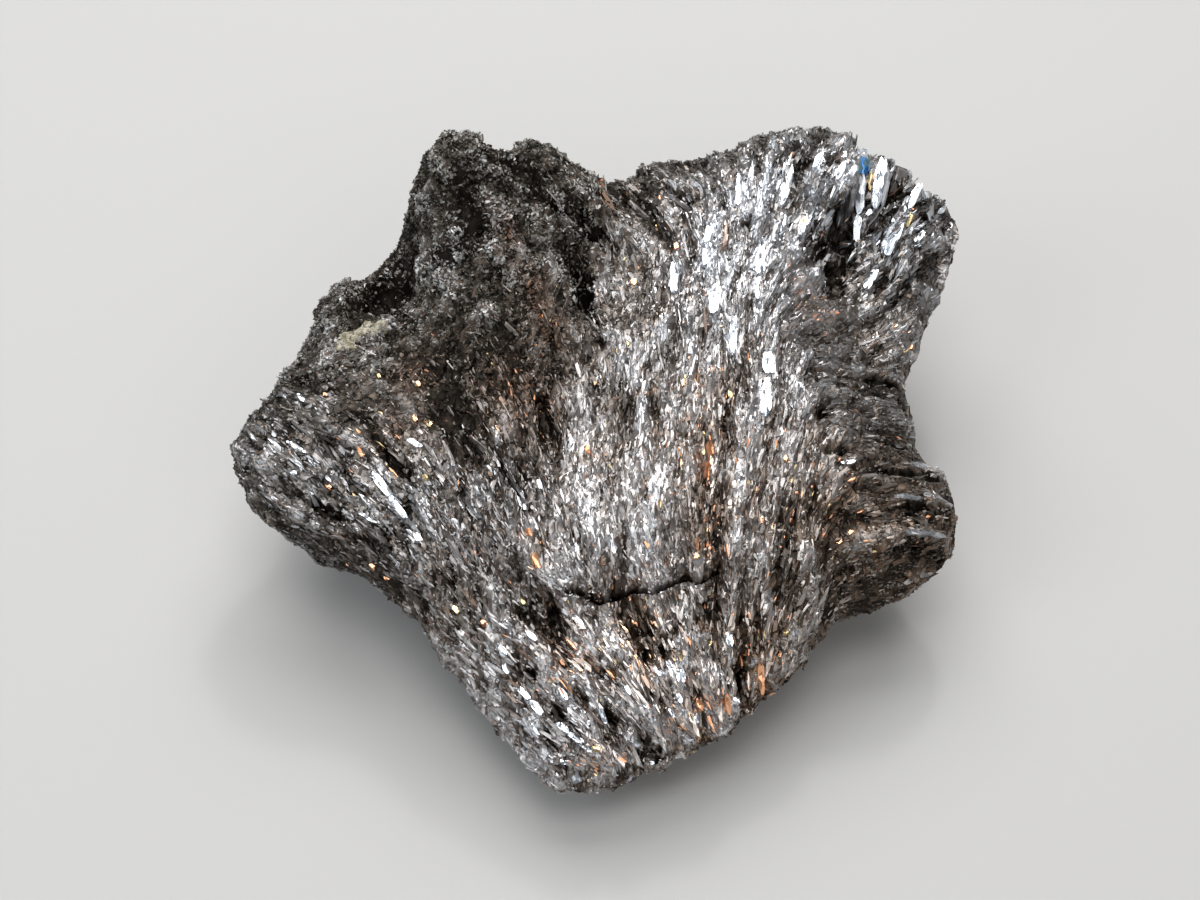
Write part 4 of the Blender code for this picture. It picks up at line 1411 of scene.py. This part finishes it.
floorLook = {"halfSide": 1.5, "colour": (0.50, 0.497, 0.49), "roughness": 0.75}  # the side in metres


def floorMaterial():
    material, _, surface = surfaceShader("paleFloor")
    surface.inputs["Base Color"].default_value = (*floorLook["colour"], 1.0)
    surface.inputs["Roughness"].default_value = floorLook["roughness"]
    return material


def paleFloor():
    plane = bmesh.new()
    bmesh.ops.create_grid(plane, x_segments=1, y_segments=1, size=floorLook["halfSide"])
    mesh = newMesh("paleFloor", plane)
    mesh.materials.append(floorMaterial())
    return newObject("paleFloor", mesh)


viewing = {
    "target": (-0.45, 1.15, 10.1),
    "elevation": 52.0,
    "distance": 164.0,
    "lens": 60.0,
}


def addCamera():
    v = viewing
    lens = bpy.data.cameras.new("camera")
    lens.lens = v["lens"]
    lens.sensor_width = 36.0
    lens.clip_start = 0.005
    camera = newObject("camera", lens)
    lift = radians(v["elevation"])
    back = Vector((0.0, -cos(lift), sin(lift)))
    camera.location = (Vector(v["target"]) + back * v["distance"]) * mm
    camera.rotation_euler = back.to_track_quat("Z", "Y").to_euler()
    bpy.context.scene.camera = camera


# Where each lamp stands (azimuth from +X in plan, elevation), its distance and size in mm,
# its power in watts and its colour.
lamps = {
    "keySoftbox": (95, 58, 420, (420, 300), 1.5, (1.0, 0.985, 0.97)),
    "hotLamp": (80, 50, 600, (60, 60), 0.5, (1.0, 0.99, 0.97)),
    "overheadSoftbox": (-90, 80, 460, (260, 200), 0.62, (1.0, 0.985, 0.97)),
    "sideSoftbox": (205, 40, 420, (160, 220), 0.35, (0.90, 0.95, 1.0)),
    "frontFill": (-70, 40, 520, (420, 260), 0.45, (1.0, 0.96, 0.92)),
}
dimRoom = {"colour": (0.9, 0.95, 1.0), "strength": 0.24}


def addLamps():
    for name, (azimuth, elevation, distance, size, power, colour) in lamps.items():
        light = bpy.data.lights.new(name, "AREA")
        light.shape = "RECTANGLE"
        light.size, light.size_y = (s * mm for s in size)
        light.energy = power
        light.color = colour
        lamp = newObject(name, light)
        turn, lift = radians(azimuth), radians(elevation)
        away = Vector((cos(turn) * cos(lift), sin(turn) * cos(lift), sin(lift)))
        lamp.location = away * distance * mm
        lamp.rotation_euler = away.to_track_quat("Z", "Y").to_euler()
    world = bpy.data.worlds.new("dimRoom")
    world.use_nodes = True
    background = world.node_tree.nodes["Background"]
    background.inputs["Color"].default_value = (*dimRoom["colour"], 1.0)
    background.inputs["Strength"].default_value = dimRoom["strength"]
    bpy.context.scene.world = world


mass = crystalMass()
mass.data.materials.clear()
mass.data.materials.append(coreMaterial())
tree = layerTree()
bladeLook = bladeMaterial()
crustLook = crustMaterial()
bars = [bladeShape(name, *parts) for name, parts in bladeSections.items()]
bladeShapes = shapeCollection("bladeShapes", bars)
grainShapes = shapeCollection("grainShapes", [grainShape("grain%d" % seed, seed) for seed in range(6)])
pieces = []
for layers, finish, shapes in (
    (bladeLayers, bladeLook, bladeShapes),
    (grainLayers, bladeLook, grainShapes),
    (crustLayers, crustLook, grainShapes),
):
    pieces += [scatter(name, mass, tree, finish, shapes, sizes) for name, sizes in layers.items()]
pieces.append(standoutBars(mass, bladeLook))
pieces.append(claySpeck(mass))
for shapes in (bladeShapes, grainShapes):
    for shape in list(shapes.objects):
        bpy.data.objects.remove(shape)
    bpy.data.collections.remove(shapes)

floor = paleFloor()
addCamera()
addLamps()
bpy.context.scene.view_settings.view_transform = "Standard"
print("floor, camera and lamps placed")

for piece in [mass] + pieces:
    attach(piece, "root")
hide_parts("crystal_spray")
